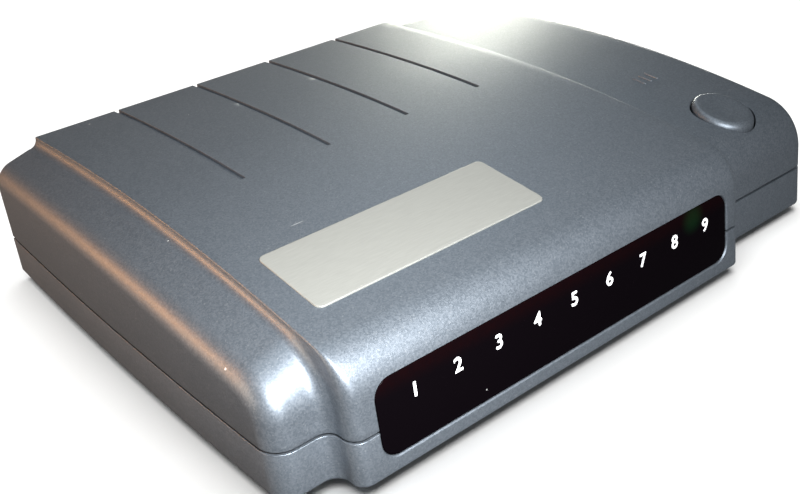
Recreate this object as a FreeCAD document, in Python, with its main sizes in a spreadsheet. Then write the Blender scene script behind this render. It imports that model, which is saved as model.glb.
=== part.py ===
"""Desktop fax modem: moulded case, circuit board, rear sockets and a sprung power button.

Millimetres. +X is to the right seen from the front, +Y to the rear and +Z up. The origin is
the middle of the footprint, on the surface that the rubber feet stand on.
"""
import FreeCAD, Part
import math
import os

import Sketcher
from FreeCAD import Rotation, Vector

os.makedirs("parts", exist_ok=True)

# Driving dimensions: name, value and what it measures
DIMENSIONS = (
    ("case_width", 155.4, "case across its widest point"),
    ("case_depth", 124.0, "case from front face to rear edge"),
    ("rear_proud", 2.8, "how far the jackscrews stand behind the case"),
    ("foot_height", 2.0, "rubber foot below the case"),
    ("parting_height", 11.8, "middle of the parting gap above the table"),
    ("parting_gap", 0.6, "open height of the parting gap"),
    ("wall", 2.4, "moulded wall"),
    ("side_wall", 3.2, "side wall"),
    ("crown_height", 35.2, "top of the raised lobe above the table"),
    ("crown_place", 88.0, "highest line of the top, behind the front face"),
    ("front_crown", 470.0, "radius of the top towards the front"),
    ("rear_crown", 800.0, "radius of the top towards the rear"),
    ("front_slope", 0.083, "lean of the front face, run over rise"),
    ("lobe_left", -65.5, "left flank of the raised lobe"),
    ("lobe_right", 42.5, "right flank of the raised lobe"),
    ("lobe_nose", 10.0, "nose radius of the lobe"),
    ("wing_nose", 11.5, "nose radius of the shoulder and the wing"),
    ("wing_drop", 2.5, "shoulder and wing below the lobe"),
    ("wing_setback", 8.0, "shoulder and wing behind the lobe's front"),
    ("soft_edge", 3.0, "rounding of the lobe's left edge"),
    ("crisp_edge", 0.8, "rounding of the lobe's right edge"),
    ("valley_round", 3.0, "hollow between shoulder and lobe"),
    ("left_edge", 4.5, "rounding of the left corner and edge"),
    ("right_edge", 3.0, "rounding of the right corner and edge"),
    ("groove_start", 64.0, "front ends of the top grooves behind the front face"),
    ("groove_pitch", 22.5, "spacing of the top grooves"),
    ("groove_width", 1.2, "top groove"),
    ("groove_sink", 0.8, "depth of a top groove"),
    ("display_middle", -10.6, "middle of the front window"),
    ("window_width", 96.2, "front window"),
    ("window_height", 16.0, "front window along the leaning face"),
    ("window_low", 3.4, "window's lower edge above the case bottom"),
    ("window_sheet", 1.2, "thickness of the front window"),
    ("window_gap", 0.15, "gap round the window"),
    ("window_corner", 3.6, "corner radius of the window"),
    ("window_rim", 2.4, "ledge that the window is stuck to"),
    ("window_sink", 0.3, "window's face behind the front face"),
    ("boss_height", 11.4, "top of the screw bosses above the table"),
    ("screw_bite", 9.0, "case screw in its post"),
    ("head_sink", 3.6, "case screw head above the case bottom"),
    ("well_reach", 13.0, "button well below the top of the wing"),
    ("mark_width", 0.7, "raised finger mark"),
    ("mark_length", 4.4, "raised finger mark front to back"),
    ("mark_rise", 0.35, "raised finger mark above the wing"),
    ("lip_gap", 0.15, "gap between the case's lip and the cover"),
    ("lip_sheet", 1.2, "lip that closes the parting gap"),
    ("lip_lean", 0.4, "front lips behind the leaning wall"),
    ("lip_rise", 2.5, "lip above the lower case"),
    ("standoff_radius", 3.0, "pillars under the board"),
    ("board_screw", 1.2, "radius of the board screws"),
    ("board_screw_side", 50.0, "board screws either side of the middle"),
    ("board_screw_front", 22.0, "front board screws behind the front face"),
    ("board_screw_rear", 88.0, "rear board screws behind the front face"),
    ("speaker_x", -38.0, "middle of the speaker"),
    ("speaker_place", 46.0, "middle of the speaker behind the front face"),
    ("slot_pitch", 3.4, "spacing of the speaker slots"),
    ("slot_width", 1.4, "speaker slot"),
    ("slot_length", 15.0, "speaker slot"),
    ("label_width", 55.5, "silver plate on the top"),
    ("label_depth", 19.6, "silver plate front to back"),
    ("label_sheet", 0.3, "thickness of the silver plate"),
    ("label_glue", 0.02, "glue under the silver plate"),
    ("label_middle", -30.2, "middle of the silver plate"),
    ("label_place", 26.2, "middle of the silver plate behind the front face"),
    ("label_corner", 2.0, "corner radius of the silver plate"),
    ("button_middle", 60.6, "middle of the power button"),
    ("button_place", 19.2, "middle of the button behind the front face"),
    ("button_width", 13.4, "power button across"),
    ("button_length", 14.8, "power button front to back"),
    ("button_gap", 0.4, "gap round the power button"),
    ("button_rise", 1.2, "button above the wing"),
    ("button_slope", 0.16, "slope of the button's top"),
    ("button_travel", 2.5, "press of the power button"),
    ("mark_pitch", 2.3, "spacing of the raised finger marks"),
    ("mark_place", 43.0, "finger marks behind the front face"),
    ("panel_sheet", 1.6, "rear panel"),
    ("panel_recess", 2.0, "rear panel in front of the rear edge"),
    ("panel_gap", 0.2, "gap round the rear panel"),
    ("board_width", 132.0, "circuit board"),
    ("board_depth", 104.8, "circuit board front to back"),
    ("board_sheet", 1.6, "circuit board thickness"),
    ("board_height", 8.4, "underside of the board above the table"),
    ("screw_hole", 1.7, "radius of the case screw holes"),
    ("screw_room", 0.3, "room round screw heads and board screws"),
    ("screw_shank", 1.4, "radius of the case screws"),
    ("screw_head", 2.8, "radius of the case screw heads"),
    ("post_radius", 3.6, "screw posts in the cover"),
    ("boss_radius", 4.2, "screw bosses on the floor"),
    ("post_side", 70.5, "screw posts either side of the middle"),
    ("post_front", 36.0, "front screw posts behind the front face"),
    ("post_rear", 108.0, "rear screw posts behind the front face"),
    ("foot_radius", 5.0, "rubber foot"),
    ("foot_side", 60.0, "rubber feet either side of the middle"),
    ("foot_front", 19.0, "front feet behind the front face"),
    ("foot_rear", 114.0, "rear feet behind the front face"),
    ("lamp_pitch", 10.16, "spacing of the indicator lamps"),
    ("lamp_width", 4.6, "indicator lamp"),
    ("lamp_rise", 2.2, "indicator lamp"),
    ("lamp_flange", 0.5, "indicator lamp's flange beyond its body"),
    ("serial_middle", 18.0, "middle of the serial connector"),
    ("serial_spacing", 47.04, "serial jackscrews apart"),
    ("serial_height", 16.6, "middle of the serial connector above the table"),
    ("jackscrew_hole", 1.2, "radius of the jackscrew threads"),
    ("jackscrew_rise", 4.8, "jackscrew above the panel"),
    ("line_middle", -55.0, "middle of the line socket"),
    ("phone_middle", -38.5, "middle of the phone socket"),
    ("socket_width", 9.8, "telephone plug opening"),
    ("socket_height", 6.8, "telephone plug opening"),
    ("socket_depth", 12.5, "telephone plug opening"),
    ("power_middle", 57.0, "middle of the power inlet"),
    ("power_bore", 3.15, "radius of the power inlet"),
    ("power_pin", 1.0, "radius of the inlet's centre pin"),
    ("jack_width", 13.0, "telephone jack housing"),
    ("jack_height", 12.4, "telephone jack housing"),
    ("jack_depth", 17.0, "telephone jack housing"),
    ("socket_sill", 3.4, "telephone plug opening above the board"),
    ("latch_width", 6.2, "slot for the plug's latch"),
    ("latch_drop", 1.8, "slot for the plug's latch below the opening"),
    ("wire_pitch", 1.02, "telephone jack contacts"),
    ("wire_side", 0.5, "telephone jack contact"),
    ("wire_length", 8.0, "telephone jack contact"),
    ("inlet_width", 9.0, "power inlet housing"),
    ("inlet_height", 10.8, "power inlet housing"),
    ("inlet_depth", 14.0, "power inlet housing"),
    ("inlet_reach", 9.6, "depth of the power inlet"),
    ("shell_width", 38.96, "serial connector's mating end"),
    ("shell_height", 8.36, "serial connector's mating end"),
    ("shell_rise", 5.8, "serial connector's mating end beyond its flange"),
    ("shell_sheet", 0.5, "serial connector's metal"),
    ("flange_width", 53.04, "serial connector's flange"),
    ("flange_height", 12.5, "serial connector's flange"),
    ("flange_sheet", 1.0, "serial connector's flange"),
    ("stud_radius", 1.45, "jackscrew stud"),
    ("jackscrew_radius", 2.9, "jackscrew across its corners, halved"),
    ("insulator_depth", 9.0, "serial connector behind its flange"),
    ("contact_pitch", 2.77, "serial contacts in a row"),
    ("contact_row", 2.84, "rows of serial contacts apart"),
    ("contact_side", 0.8, "serial contact"),
    ("contact_length", 9.0, "hole for a serial contact"),
    ("contact_sink", 1.5, "serial contact's end below its hole's mouth"),
    ("shell_taper", 0.176, "how far the shell's ends lean for its height"),
    ("insulator_sink", 0.4, "insulator's face inside the shell's end"),
    ("insulator_ear", 1.0, "insulator's block beyond the shell"),
    ("thread_wall", 0.8, "jackscrew below its thread"),
    ("pin_sink", 0.8, "power pin's end inside the inlet"),
    ("plunger_gap", 0.3, "room round the switch's plunger"),
    ("switch_floor", 1.5, "switch housing below its bore"),
    ("window_seat", 0.02, "glue room behind the window"),
    ("groove_shift", 0.3, "groove row right of the window's middle"),
    ("cap_low", 23.2, "underside of the button cap above the table"),
    ("button_bevel", 0.9, "bevel of the button's rim"),
    ("tab_reach", 1.0, "button's keeper tabs beyond the well"),
    ("tab_length", 4.0, "button's keeper tabs"),
    ("tab_sheet", 1.2, "button's keeper tabs"),
    ("stem_low", 20.5, "foot of the button's stem above the table"),
    ("stem_side", 6.4, "button's stem"),
    ("plunger_side", 3.6, "switch plunger"),
    ("plunger_low", 14.3, "foot of the plunger above the table"),
    ("plunger_high", 22.8, "top of the plunger above the table"),
    ("switch_side", 8.5, "push switch"),
    ("switch_height", 7.5, "push switch above the board"),
    ("head_sheet", 1.8, "thickness of a screw head"),
    ("screw_length", 16.0, "case screw"),
    ("board_screw_length", 5.0, "board screw"),
    ("board_front", 13.1, "board's front edge behind the front face"),
    ("lamp_middle", -10.3, "middle lamp"),
    ("lamp_height", 15.6, "lamps above the table"),
    ("lamp_length", 7.5, "indicator lamp front to back"),
    ("holder_depth", 4.0, "lamp holder bar front to back"),
    ("holder_place", 0.5, "lamp holder bar behind the board's front edge"),
    ("speaker_radius", 14.0, "speaker"),
    ("speaker_rise", 7.0, "speaker frame"),
    ("magnet_rise", 4.0, "speaker magnet"),
    ("speaker_wall", 1.0, "speaker frame's sheet"),
    ("cone_sheet", 0.5, "speaker's paper cone"),
    ("cone_neck", 5.6, "radius of the paper cone's neck"),
    ("magnet_radius", 8.4, "speaker magnet"),
    ("transformer_x", -50.0, "middle of the transformer"),
    ("transformer_place", 75.0, "middle of the transformer behind the front face"),
    ("core_width", 19.0, "transformer core"),
    ("core_depth", 7.0, "transformer core"),
    ("core_height", 14.0, "transformer core"),
    ("bobbin_sheet", 2.0, "transformer bobbin's pin plate"),
    ("coil_bevel", 1.2, "corners of the transformer winding"),
    ("relay_x", -24.0, "middle of the hook relay"),
    ("relay_place", 96.0, "middle of the hook relay behind the front face"),
    ("relay_width", 20.0, "hook relay"),
    ("relay_depth", 10.0, "hook relay"),
    ("relay_rise", 10.5, "hook relay"),
    ("relay_bevel", 0.6, "hook relay's edges"),
    ("crystal_x", 6.0, "middle of the crystal"),
    ("crystal_place", 78.0, "middle of the crystal behind the front face"),
    ("surge_x", -24.0, "middle of the surge disc"),
    ("surge_place", 84.0, "middle of the surge disc behind the front face"),
    ("surge_radius", 4.0, "surge disc"),
    ("surge_sheet", 3.0, "surge disc"),
    ("surge_lift", 6.5, "middle of the surge disc above the board"),
    ("surge_leg", 0.7, "surge disc's leg"),
    ("surge_pitch", 5.0, "between the surge disc's legs"),
    ("crystal_radius", 2.0, "ends of the crystal can"),
    ("crystal_span", 6.0, "between the middles of the crystal can's ends"),
    ("crystal_rise", 3.6, "crystal can"),
    ("sink_x", 54.0, "middle of the heat sink"),
    ("sink_place", 74.0, "face of the heat sink behind the front face"),
    ("sink_width", 20.0, "heat sink"),
    ("sink_web", 1.6, "heat sink's web and fins"),
    ("sink_fin", 8.0, "length of the heat sink's fins"),
    ("sink_rise", 17.0, "heat sink above the board"),
    ("regulator_lift", 3.0, "voltage regulator above the board"),
    ("regulator_width", 10.0, "voltage regulator"),
    ("regulator_depth", 4.4, "voltage regulator"),
    ("regulator_rise", 9.0, "voltage regulator's moulding"),
    ("regulator_leg", 0.8, "voltage regulator's leg"),
    ("regulator_pitch", 2.54, "between the voltage regulator's legs"),
    ("tab_thickness", 1.2, "voltage regulator's tab"),
    ("tab_rise", 15.5, "voltage regulator's tab"),
    ("tab_hole", 1.8, "radius of the tab's hole"),
    ("tab_hole_place", 12.6, "tab's hole above the tab's foot"),
    ("chip_x", -6.0, "middle of the signal chip"),
    ("chip_place", 40.0, "middle of the signal chip behind the front face"),
    ("can_x", 58.0, "middle of the largest capacitor"),
    ("can_place", 94.0, "middle of the capacitors behind the front face"),
    ("can_groove", 0.4, "rolled groove of a capacitor"),
    ("can_1_radius", 5.0, "largest capacitor"),
    ("can_1_rise", 12.5, "largest capacitor"),
    ("can_2_radius", 4.0, "middle capacitor"),
    ("can_2_rise", 11.0, "middle capacitor"),
    ("can_2_shift", 12.5, "middle capacitor left of the largest"),
    ("can_3_radius", 3.15, "smallest capacitor"),
    ("can_3_rise", 11.0, "smallest capacitor"),
    ("can_3_shift", 23.0, "smallest capacitor left of the largest"),
    ("large_chip_width", 24.0, "signal chip and control chip"),
    ("large_chip_depth", 14.0, "signal chip and control chip"),
    ("large_chip_rise", 3.0, "signal chip and control chip"),
    ("memory_chip_width", 18.0, "memory chip"),
    ("memory_chip_depth", 8.0, "memory chip"),
    ("small_chip_width", 12.0, "driver chip and receiver chip"),
    ("small_chip_depth", 6.0, "driver chip and receiver chip"),
    ("flat_chip_rise", 2.4, "memory chip, driver chip and receiver chip"),
    ("chip_step", 30.0, "control chip right of the signal chip"),
    ("chip_row", 24.0, "second row of chips behind the first"),
    ("driver_shift", 4.0, "driver chip right of the signal chip"),
    ("receiver_shift", 52.0, "receiver chip right of the signal chip"),
    ("lead_lift", 0.6, "chip's body above the board"),
    ("lead_reach", 1.4, "chip's lead beyond its body"),
    ("lead_bury", 0.2, "chip's lead inside its body"),
    ("lead_sheet", 0.8, "chip's lead"),
)


class Size:
    """A length that carries its number and the sheet expression behind it."""

    def __init__(self, number, text):
        self.number = number
        self.text = text

    def __add__(self, other):
        other = as_size(other)
        return Size(self.number + other.number, f"({self.text} + {other.text})")

    def __sub__(self, other):
        other = as_size(other)
        return Size(self.number - other.number, f"({self.text} - {other.text})")

    def __mul__(self, other):
        other = as_size(other)
        return Size(self.number * other.number, f"({self.text} * {other.text})")

    def __truediv__(self, other):
        other = as_size(other)
        return Size(self.number / other.number, f"({self.text} / {other.text})")

    def __radd__(self, other):
        return as_size(other) + self

    def __rsub__(self, other):
        return as_size(other) - self

    def __rmul__(self, other):
        return as_size(other) * self

    def __neg__(self):
        return Size(-self.number, f"(-1 * {self.text})")


def as_size(value):
    """Give a plain number the same two faces as a sheet size."""
    if isinstance(value, Size):
        return value
    return Size(float(value), repr(float(value)))


doc = FreeCAD.newDocument("desktop_modem")
sheet = doc.addObject("Spreadsheet::Sheet", "sizes")
for row, (alias, value, note) in enumerate(DIMENSIONS, start=1):
    sheet.set(f"A{row}", alias)
    sheet.set(f"B{row}", str(value))
    sheet.set(f"C{row}", note)
    sheet.setAlias(f"B{row}", alias)
doc.recompute()

D = {alias: Size(float(value), f"sizes.{alias}") for alias, value, note in DIMENSIONS}
TURNS = {"Y": Rotation(Vector(1, 0, 0), -90), "Z": Rotation()}
nodes = []


# Document helpers

def bind(obj, prop, size):
    """Tie one property to the sheet."""
    obj.setExpression(prop, as_size(size).text)


def place(obj, x, y, z):
    """Tie an object's position to the sheet."""
    for axis, size in zip("xyz", (x, y, z)):
        bind(obj, f"Placement.Base.{axis}", size)


def node(obj, label):
    """Name a finished sub-part and keep it for writing."""
    obj.Label = label
    nodes.append(obj)
    return obj


def block(name, lengths, middle, low):
    """Box given by its three lengths, the middle of its plan and its lowest height."""
    box = doc.addObject("Part::Box", name)
    for prop, length in zip(("Length", "Width", "Height"), lengths):
        bind(box, prop, length)
    place(box, middle[0] - as_size(lengths[0]) / 2, middle[1] - as_size(lengths[1]) / 2, low)
    return box


def rod(name, radius, length, start, axis="Z"):
    """Cylinder from its start point along +Y or +Z."""
    cylinder = doc.addObject("Part::Cylinder", name)
    bind(cylinder, "Radius", radius)
    bind(cylinder, "Height", length)
    cylinder.Placement.Rotation = TURNS[axis]
    place(cylinder, *start)
    return cylinder


def peg(name, radius, length, start, sides=8, axis="Z"):
    """Prism with many sides from its start point along +Y or +Z."""
    prism = doc.addObject("Part::Prism", name)
    prism.Polygon = sides
    bind(prism, "Circumradius", radius)
    bind(prism, "Height", length)
    prism.Placement.Rotation = TURNS[axis]
    place(prism, *start)
    return prism


def cut(name, base, tool):
    """Base less tool."""
    result = doc.addObject("Part::Cut", name)
    result.Base = base
    result.Tool = tool
    return result


def fuse(name, shapes):
    """One solid from several that touch."""
    result = doc.addObject("Part::MultiFuse", name)
    result.Shapes = shapes
    return result


def group(name, shapes):
    """Several separate solids kept as one sub-part."""
    result = doc.addObject("Part::Compound", name)
    result.Links = shapes
    return result


def edge_names(shape, chosen):
    """Names of the edges of a shape that chosen accepts."""
    return [f"Edge{number}" for number, edge in enumerate(shape.Edges, start=1) if chosen(edge)]


def bevelled(name, base, size, chosen):
    """Bevel the edges of base that chosen accepts."""
    doc.recompute()
    result = doc.addObject("Part::Chamfer", name)
    result.Base = base
    result.Edges = [(int(edge[4:]), size.number, size.number) for edge in edge_names(base.Shape, chosen)]
    return result


def new_body(name):
    """Empty solid body for sketched features."""
    return doc.addObject("PartDesign::Body", name)


def plane_of(body, role):
    """One of a body's own origin planes or axes."""
    return [item for item in body.Origin.OriginFeatures if item.Role == role][0]


def sketch_on(body, name, role, lift=0):
    """Sketch on an origin plane of the body, lifted along the plane's normal."""
    sketch = body.newObject("Sketcher::SketchObject", name)
    sketch.AttachmentSupport = [(plane_of(body, role), "")]
    sketch.MapMode = "FlatFace"
    bind(sketch, "AttachmentOffset.Base.z", lift)
    return sketch


def hold(sketch, kind, geometry, point, size):
    """Hold one coordinate of a sketch point at a sheet size."""
    size = as_size(size)
    index = sketch.addConstraint(Sketcher.Constraint(kind, -1, 1, geometry, point, size.number))
    sketch.setExpression(f"Constraints[{index}]", size.text)


def hold_value(sketch, kind, geometry, size):
    """Hold the radius or length of one sketch element at a sheet size."""
    size = as_size(size)
    index = sketch.addConstraint(Sketcher.Constraint(kind, geometry, size.number))
    sketch.setExpression(f"Constraints[{index}]", size.text)


def polygon(sketch, corners):
    """Closed outline of straight lines through corners held to the sheet."""
    first = sketch.GeometryCount
    count = len(corners)
    points = [Vector(as_size(across).number, as_size(up).number, 0) for across, up in corners]
    for index in range(count):
        sketch.addGeometry(Part.LineSegment(points[index], points[(index + 1) % count]), False)
    for index, (across, up) in enumerate(corners):
        following = first + (index + 1) % count
        sketch.addConstraint(Sketcher.Constraint("Coincident", first + index, 2, following, 1))
        hold(sketch, "DistanceX", first + index, 1, across)
        hold(sketch, "DistanceY", first + index, 1, up)


def rectangle(sketch, left, right, low, high):
    """Rectangle between two pairs of sheet sizes."""
    polygon(sketch, [(left, low), (right, low), (right, high), (left, high)])


def regular(sketch, across, up, radius, sides=8):
    """Regular polygon with its first corner to the right."""
    turns = [math.tau * number / sides for number in range(sides)]
    polygon(sketch, [(across + radius * math.cos(turn), up + radius * math.sin(turn)) for turn in turns])


def oval(sketch, across, up, width, length):
    """Oval of four tangent arcs with its long axis up the sketch."""
    half_width, half_length = width / 2, length / 2
    end_radius = half_width * half_width / half_length
    end_place = half_length - end_radius
    flat = half_width * half_width + end_place * end_place - end_radius * end_radius
    side_radius = flat / ((half_width - end_radius) * 2)
    side_place = side_radius - half_width
    joint_x = end_radius * side_place / (side_radius - end_radius)
    joint_y = side_radius * end_place / (side_radius - end_radius)
    joints = [(across + joint_x, up - joint_y), (across + joint_x, up + joint_y),
              (across - joint_x, up + joint_y), (across - joint_x, up - joint_y)]
    middles = [(across + half_width, up), (across, up + half_length),
               (across - half_width, up), (across, up - half_length)]
    first = sketch.GeometryCount
    for index, middle in enumerate(middles):
        arc_points = (joints[index], middle, joints[(index + 1) % 4])
        sketch.addGeometry(Part.Arc(*(Vector(x.number, y.number, 0) for x, y in arc_points)), False)
    for index, (x, y) in enumerate(joints):
        sketch.addConstraint(Sketcher.Constraint("Coincident", first + index, 1, first + (index - 1) % 4, 2))
        hold(sketch, "DistanceX", first + index, 1, x)
        hold(sketch, "DistanceY", first + index, 1, y)
        hold_value(sketch, "Radius", first + index, side_radius if index % 2 == 0 else end_radius)


def rounded_rectangle(sketch, left, right, low, high, radius):
    """Rectangle with four equal round corners, held to the sheet."""
    left, right, low, high, radius = (as_size(size) for size in (left, right, low, high, radius))
    x0, x1, y0, y1, r = left.number, right.number, low.number, high.number, radius.number
    sides = (((x0 + r, y0), (x1 - r, y0)), ((x1, y0 + r), (x1, y1 - r)),
             ((x1 - r, y1), (x0 + r, y1)), ((x0, y1 - r), (x0, y0 + r)))
    centres = ((x1 - r, y0 + r), (x1 - r, y1 - r), (x0 + r, y1 - r), (x0 + r, y0 + r))
    first = sketch.GeometryCount
    for index, (side, centre) in enumerate(zip(sides, centres)):
        turn = (index - 1) * math.pi / 2
        corner = Part.Circle(Vector(*centre, 0), Vector(0, 0, 1), r)
        sketch.addGeometry(Part.LineSegment(Vector(*side[0], 0), Vector(*side[1], 0)), False)
        sketch.addGeometry(Part.ArcOfCircle(corner, turn, turn + math.pi / 2), False)
    for index in range(8):
        sketch.addConstraint(Sketcher.Constraint("Tangent", first + index, 2, first + (index + 1) % 8, 1))
    for index, kind in ((0, "Horizontal"), (2, "Vertical"), (4, "Horizontal"), (6, "Vertical")):
        sketch.addConstraint(Sketcher.Constraint(kind, first + index))
    for index in (1, 3, 5, 7):
        hold_value(sketch, "Radius", first + index, radius)
    hold(sketch, "DistanceY", first, 1, low)
    hold(sketch, "DistanceX", first + 2, 1, right)
    hold(sketch, "DistanceY", first + 4, 1, high)
    hold(sketch, "DistanceX", first + 6, 1, left)


def repeat(body, feature, role, span, count):
    """Copies of a feature in a row along one of the body's axes."""
    pattern = body.newObject("PartDesign::LinearPattern", feature.Name + "_row")
    pattern.Originals = [feature]
    pattern.Direction = (plane_of(body, role), [""])
    bind(pattern, "Length", span)
    pattern.Occurrences = count
    body.Tip = pattern
    return pattern


def pad(body, sketch, length, reverse=False):
    """Raise a sketch along its plane's normal."""
    feature = body.newObject("PartDesign::Pad", sketch.Name + "_pad")
    feature.Profile = sketch
    bind(feature, "Length", length)
    feature.Reversed = reverse
    sketch.Visibility = False
    return feature


def pocket(body, sketch, length, reverse=False, both=False):
    """Cut a sketch out of the body and make sure that it removed something."""
    doc.recompute()
    before = body.Shape.Volume
    feature = body.newObject("PartDesign::Pocket", sketch.Name + "_pocket")
    feature.Profile = sketch
    bind(feature, "Length", length)
    feature.Reversed = reverse
    if both:
        feature.SideType = "Symmetric"
    doc.recompute()
    if body.Shape.Volume > before - 1e-6:
        raise RuntimeError(f"{feature.Name} removes nothing")
    return feature


def treat_edges(body, kind, name, prop, size, chosen):
    """Round or bevel the edges of the body's tip that chosen accepts."""
    doc.recompute()
    tip = body.Tip
    names = edge_names(tip.Shape, chosen)
    feature = body.newObject(f"PartDesign::{kind}", name)
    feature.Base = (tip, names)
    bind(feature, prop, size)
    doc.recompute()
    if not feature.Shape.isValid():
        feature.touch()
        doc.recompute()
    if not feature.Shape.isValid():
        raise RuntimeError(f"{name} isn't sound")
    return feature


def round_edges(body, name, radius, chosen):
    """Round the edges of the body's tip that chosen accepts."""
    return treat_edges(body, "Fillet", name, "Radius", radius, chosen)


def bevel_edges(body, name, size, chosen):
    """Bevel the edges of the body's tip that chosen accepts."""
    return treat_edges(body, "Chamfer", name, "Size", size, chosen)


# Case places that several sub-parts share

FRONT = -(D["case_depth"] + D["rear_proud"]) / 2
REAR = FRONT + D["case_depth"]
HALF = D["case_width"] / 2
CROWN_Y = FRONT + D["crown_place"]
WING_TOP = D["crown_height"] - D["wing_drop"]
WING_FRONT = FRONT + D["wing_setback"]
COVER_LOW = D["parting_height"] + D["parting_gap"] / 2
CASE_HIGH = D["parting_height"] - D["parting_gap"] / 2
FLOOR = D["foot_height"] + D["wall"]
BOARD_TOP = D["board_height"] + D["board_sheet"]
BOARD_FRONT = FRONT + D["board_front"]
PANEL_REAR = REAR - D["panel_recess"]
PANEL_FRONT = PANEL_REAR - D["panel_sheet"]
NEAR = 0.05


def leaning(front, height):
    """Place of a leaning front face at a height above the table."""
    return front + D["front_slope"] * (height - D["foot_height"])


def roof(behind, top):
    """Height of the crowned top at a distance behind the front face."""
    run = D["crown_place"] - behind
    radius = D["front_crown"] if run.number > 0 else D["rear_crown"]
    return top - run * run / (radius * 2)


def front_sketch(body, name, sink=0):
    """Sketch on the leaning front face, or sunk behind it, measured up from the case's bottom edge."""
    sketch = sketch_on(body, name, "XZ_Plane")
    slope = D["front_slope"]
    lean = math.atan(slope.number)
    sink = as_size(sink)
    back = sink * Size(math.cos(lean), f"cos(atan({slope.text}))")
    down = sink * Size(math.sin(lean), f"sin(atan({slope.text}))")
    sketch.AttachmentOffset = FreeCAD.Placement(Vector(), Rotation(Vector(1, 0, 0), -math.degrees(lean)))
    bind(sketch, "AttachmentOffset.Base.y", D["foot_height"] - down)
    bind(sketch, "AttachmentOffset.Base.z", -FRONT - back)
    return sketch


def in_plane(edge, x):
    """True for an edge that lies in the plane at x."""
    box = edge.BoundBox
    return abs(box.XMin - x) < NEAR and abs(box.XMax - x) < NEAR


def is_flat(edge, height):
    """True for an edge at one height."""
    return abs(edge.BoundBox.ZMin - height) < NEAR and abs(edge.BoundBox.ZMax - height) < NEAR


def at_rear(edge):
    """True for an edge in the case's rear plane."""
    return edge.BoundBox.YMin > REAR.number - NEAR


def is_crease(shape, edge):
    """True for an edge whose two faces meet at a clear angle."""
    middle = edge.valueAt((edge.FirstParameter + edge.LastParameter) / 2)
    normals = []
    for face in shape.ancestorsOfType(edge, Part.Face):
        normals.append(face.normalAt(*face.Surface.parameter(middle)))
    return len(normals) == 2 and normals[0].getAngle(normals[1]) > math.radians(20)


def case_profile(sketch, front, low, top, nose, inset=0, rear=REAR):
    """Side view of a crowned top with a round nose and a leaning front, drawn inset from the outside."""
    inset = as_size(inset)
    rear_radius = D["rear_crown"] - inset
    front_radius = D["front_crown"] - inset
    nose_radius = nose - inset
    top = top - inset
    foot = leaning(front, low) + inset
    slope = math.atan(D["front_slope"].number)
    rise = Vector(math.sin(slope), math.cos(slope), 0)
    inward = Vector(math.cos(slope), -math.sin(slope), 0)
    corner = Vector(foot.number, as_size(low).number, 0)
    front_centre = Vector(CROWN_Y.number, top.number - front_radius.number, 0)
    rear_centre = Vector(CROWN_Y.number, top.number - rear_radius.number, 0)
    # The nose circle touches the leaning face and the crown from inside
    reach = front_radius.number - nose_radius.number
    base = corner + inward * nose_radius.number - front_centre
    along = base.dot(rise)
    nose_centre = front_centre + base + rise * (math.sqrt(along ** 2 - base.dot(base) + reach ** 2) - along)
    nose_angle = math.atan2(nose_centre.y - front_centre.y, nose_centre.x - front_centre.x)
    touch = nose_centre - inward * nose_radius.number
    rear_angle = math.acos((as_size(rear).number - CROWN_Y.number) / rear_radius.number)
    rear_top = rear_centre + Vector(math.cos(rear_angle), math.sin(rear_angle), 0) * rear_radius.number
    rear_low = Vector(as_size(rear).number, as_size(low).number, 0)
    up = Vector(0, 0, 1)
    quarter = math.pi / 2
    rear_circle = Part.Circle(rear_centre, up, rear_radius.number)
    front_circle = Part.Circle(front_centre, up, front_radius.number)
    nose_circle = Part.Circle(nose_centre, up, nose_radius.number)
    sketch.addGeometry(Part.LineSegment(rear_low, rear_top), False)
    sketch.addGeometry(Part.ArcOfCircle(rear_circle, rear_angle, quarter), False)
    sketch.addGeometry(Part.ArcOfCircle(front_circle, quarter, nose_angle), False)
    sketch.addGeometry(Part.ArcOfCircle(nose_circle, nose_angle, math.pi + slope), False)
    sketch.addGeometry(Part.LineSegment(corner, touch), False)
    sketch.addGeometry(Part.LineSegment(corner, rear_low), False)
    for ends in ((0, 2, 1, 1), (4, 1, 5, 1), (5, 2, 0, 1)):
        sketch.addConstraint(Sketcher.Constraint("Coincident", *ends))
    for ends in ((1, 2, 2, 1), (2, 2, 3, 1), (3, 2, 4, 2)):
        sketch.addConstraint(Sketcher.Constraint("Tangent", *ends))
    sketch.addConstraint(Sketcher.Constraint("Vertical", 0))
    sketch.addConstraint(Sketcher.Constraint("Horizontal", 5))
    hold_value(sketch, "Radius", 1, rear_radius)
    hold_value(sketch, "Radius", 2, front_radius)
    hold_value(sketch, "Radius", 3, nose_radius)
    hold(sketch, "DistanceX", 1, 3, CROWN_Y)
    hold(sketch, "DistanceX", 2, 3, CROWN_Y)
    hold(sketch, "DistanceY", 1, 2, top)
    hold(sketch, "DistanceX", 4, 1, foot)
    hold(sketch, "DistanceY", 4, 1, low)
    hold(sketch, "DistanceX", 0, 1, rear)
    lean = sketch.addConstraint(Sketcher.Constraint("Angle", 4, quarter - slope))
    sketch.setExpression(f"Constraints[{lean}]", "90 deg - atan(sizes.front_slope)")


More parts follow.
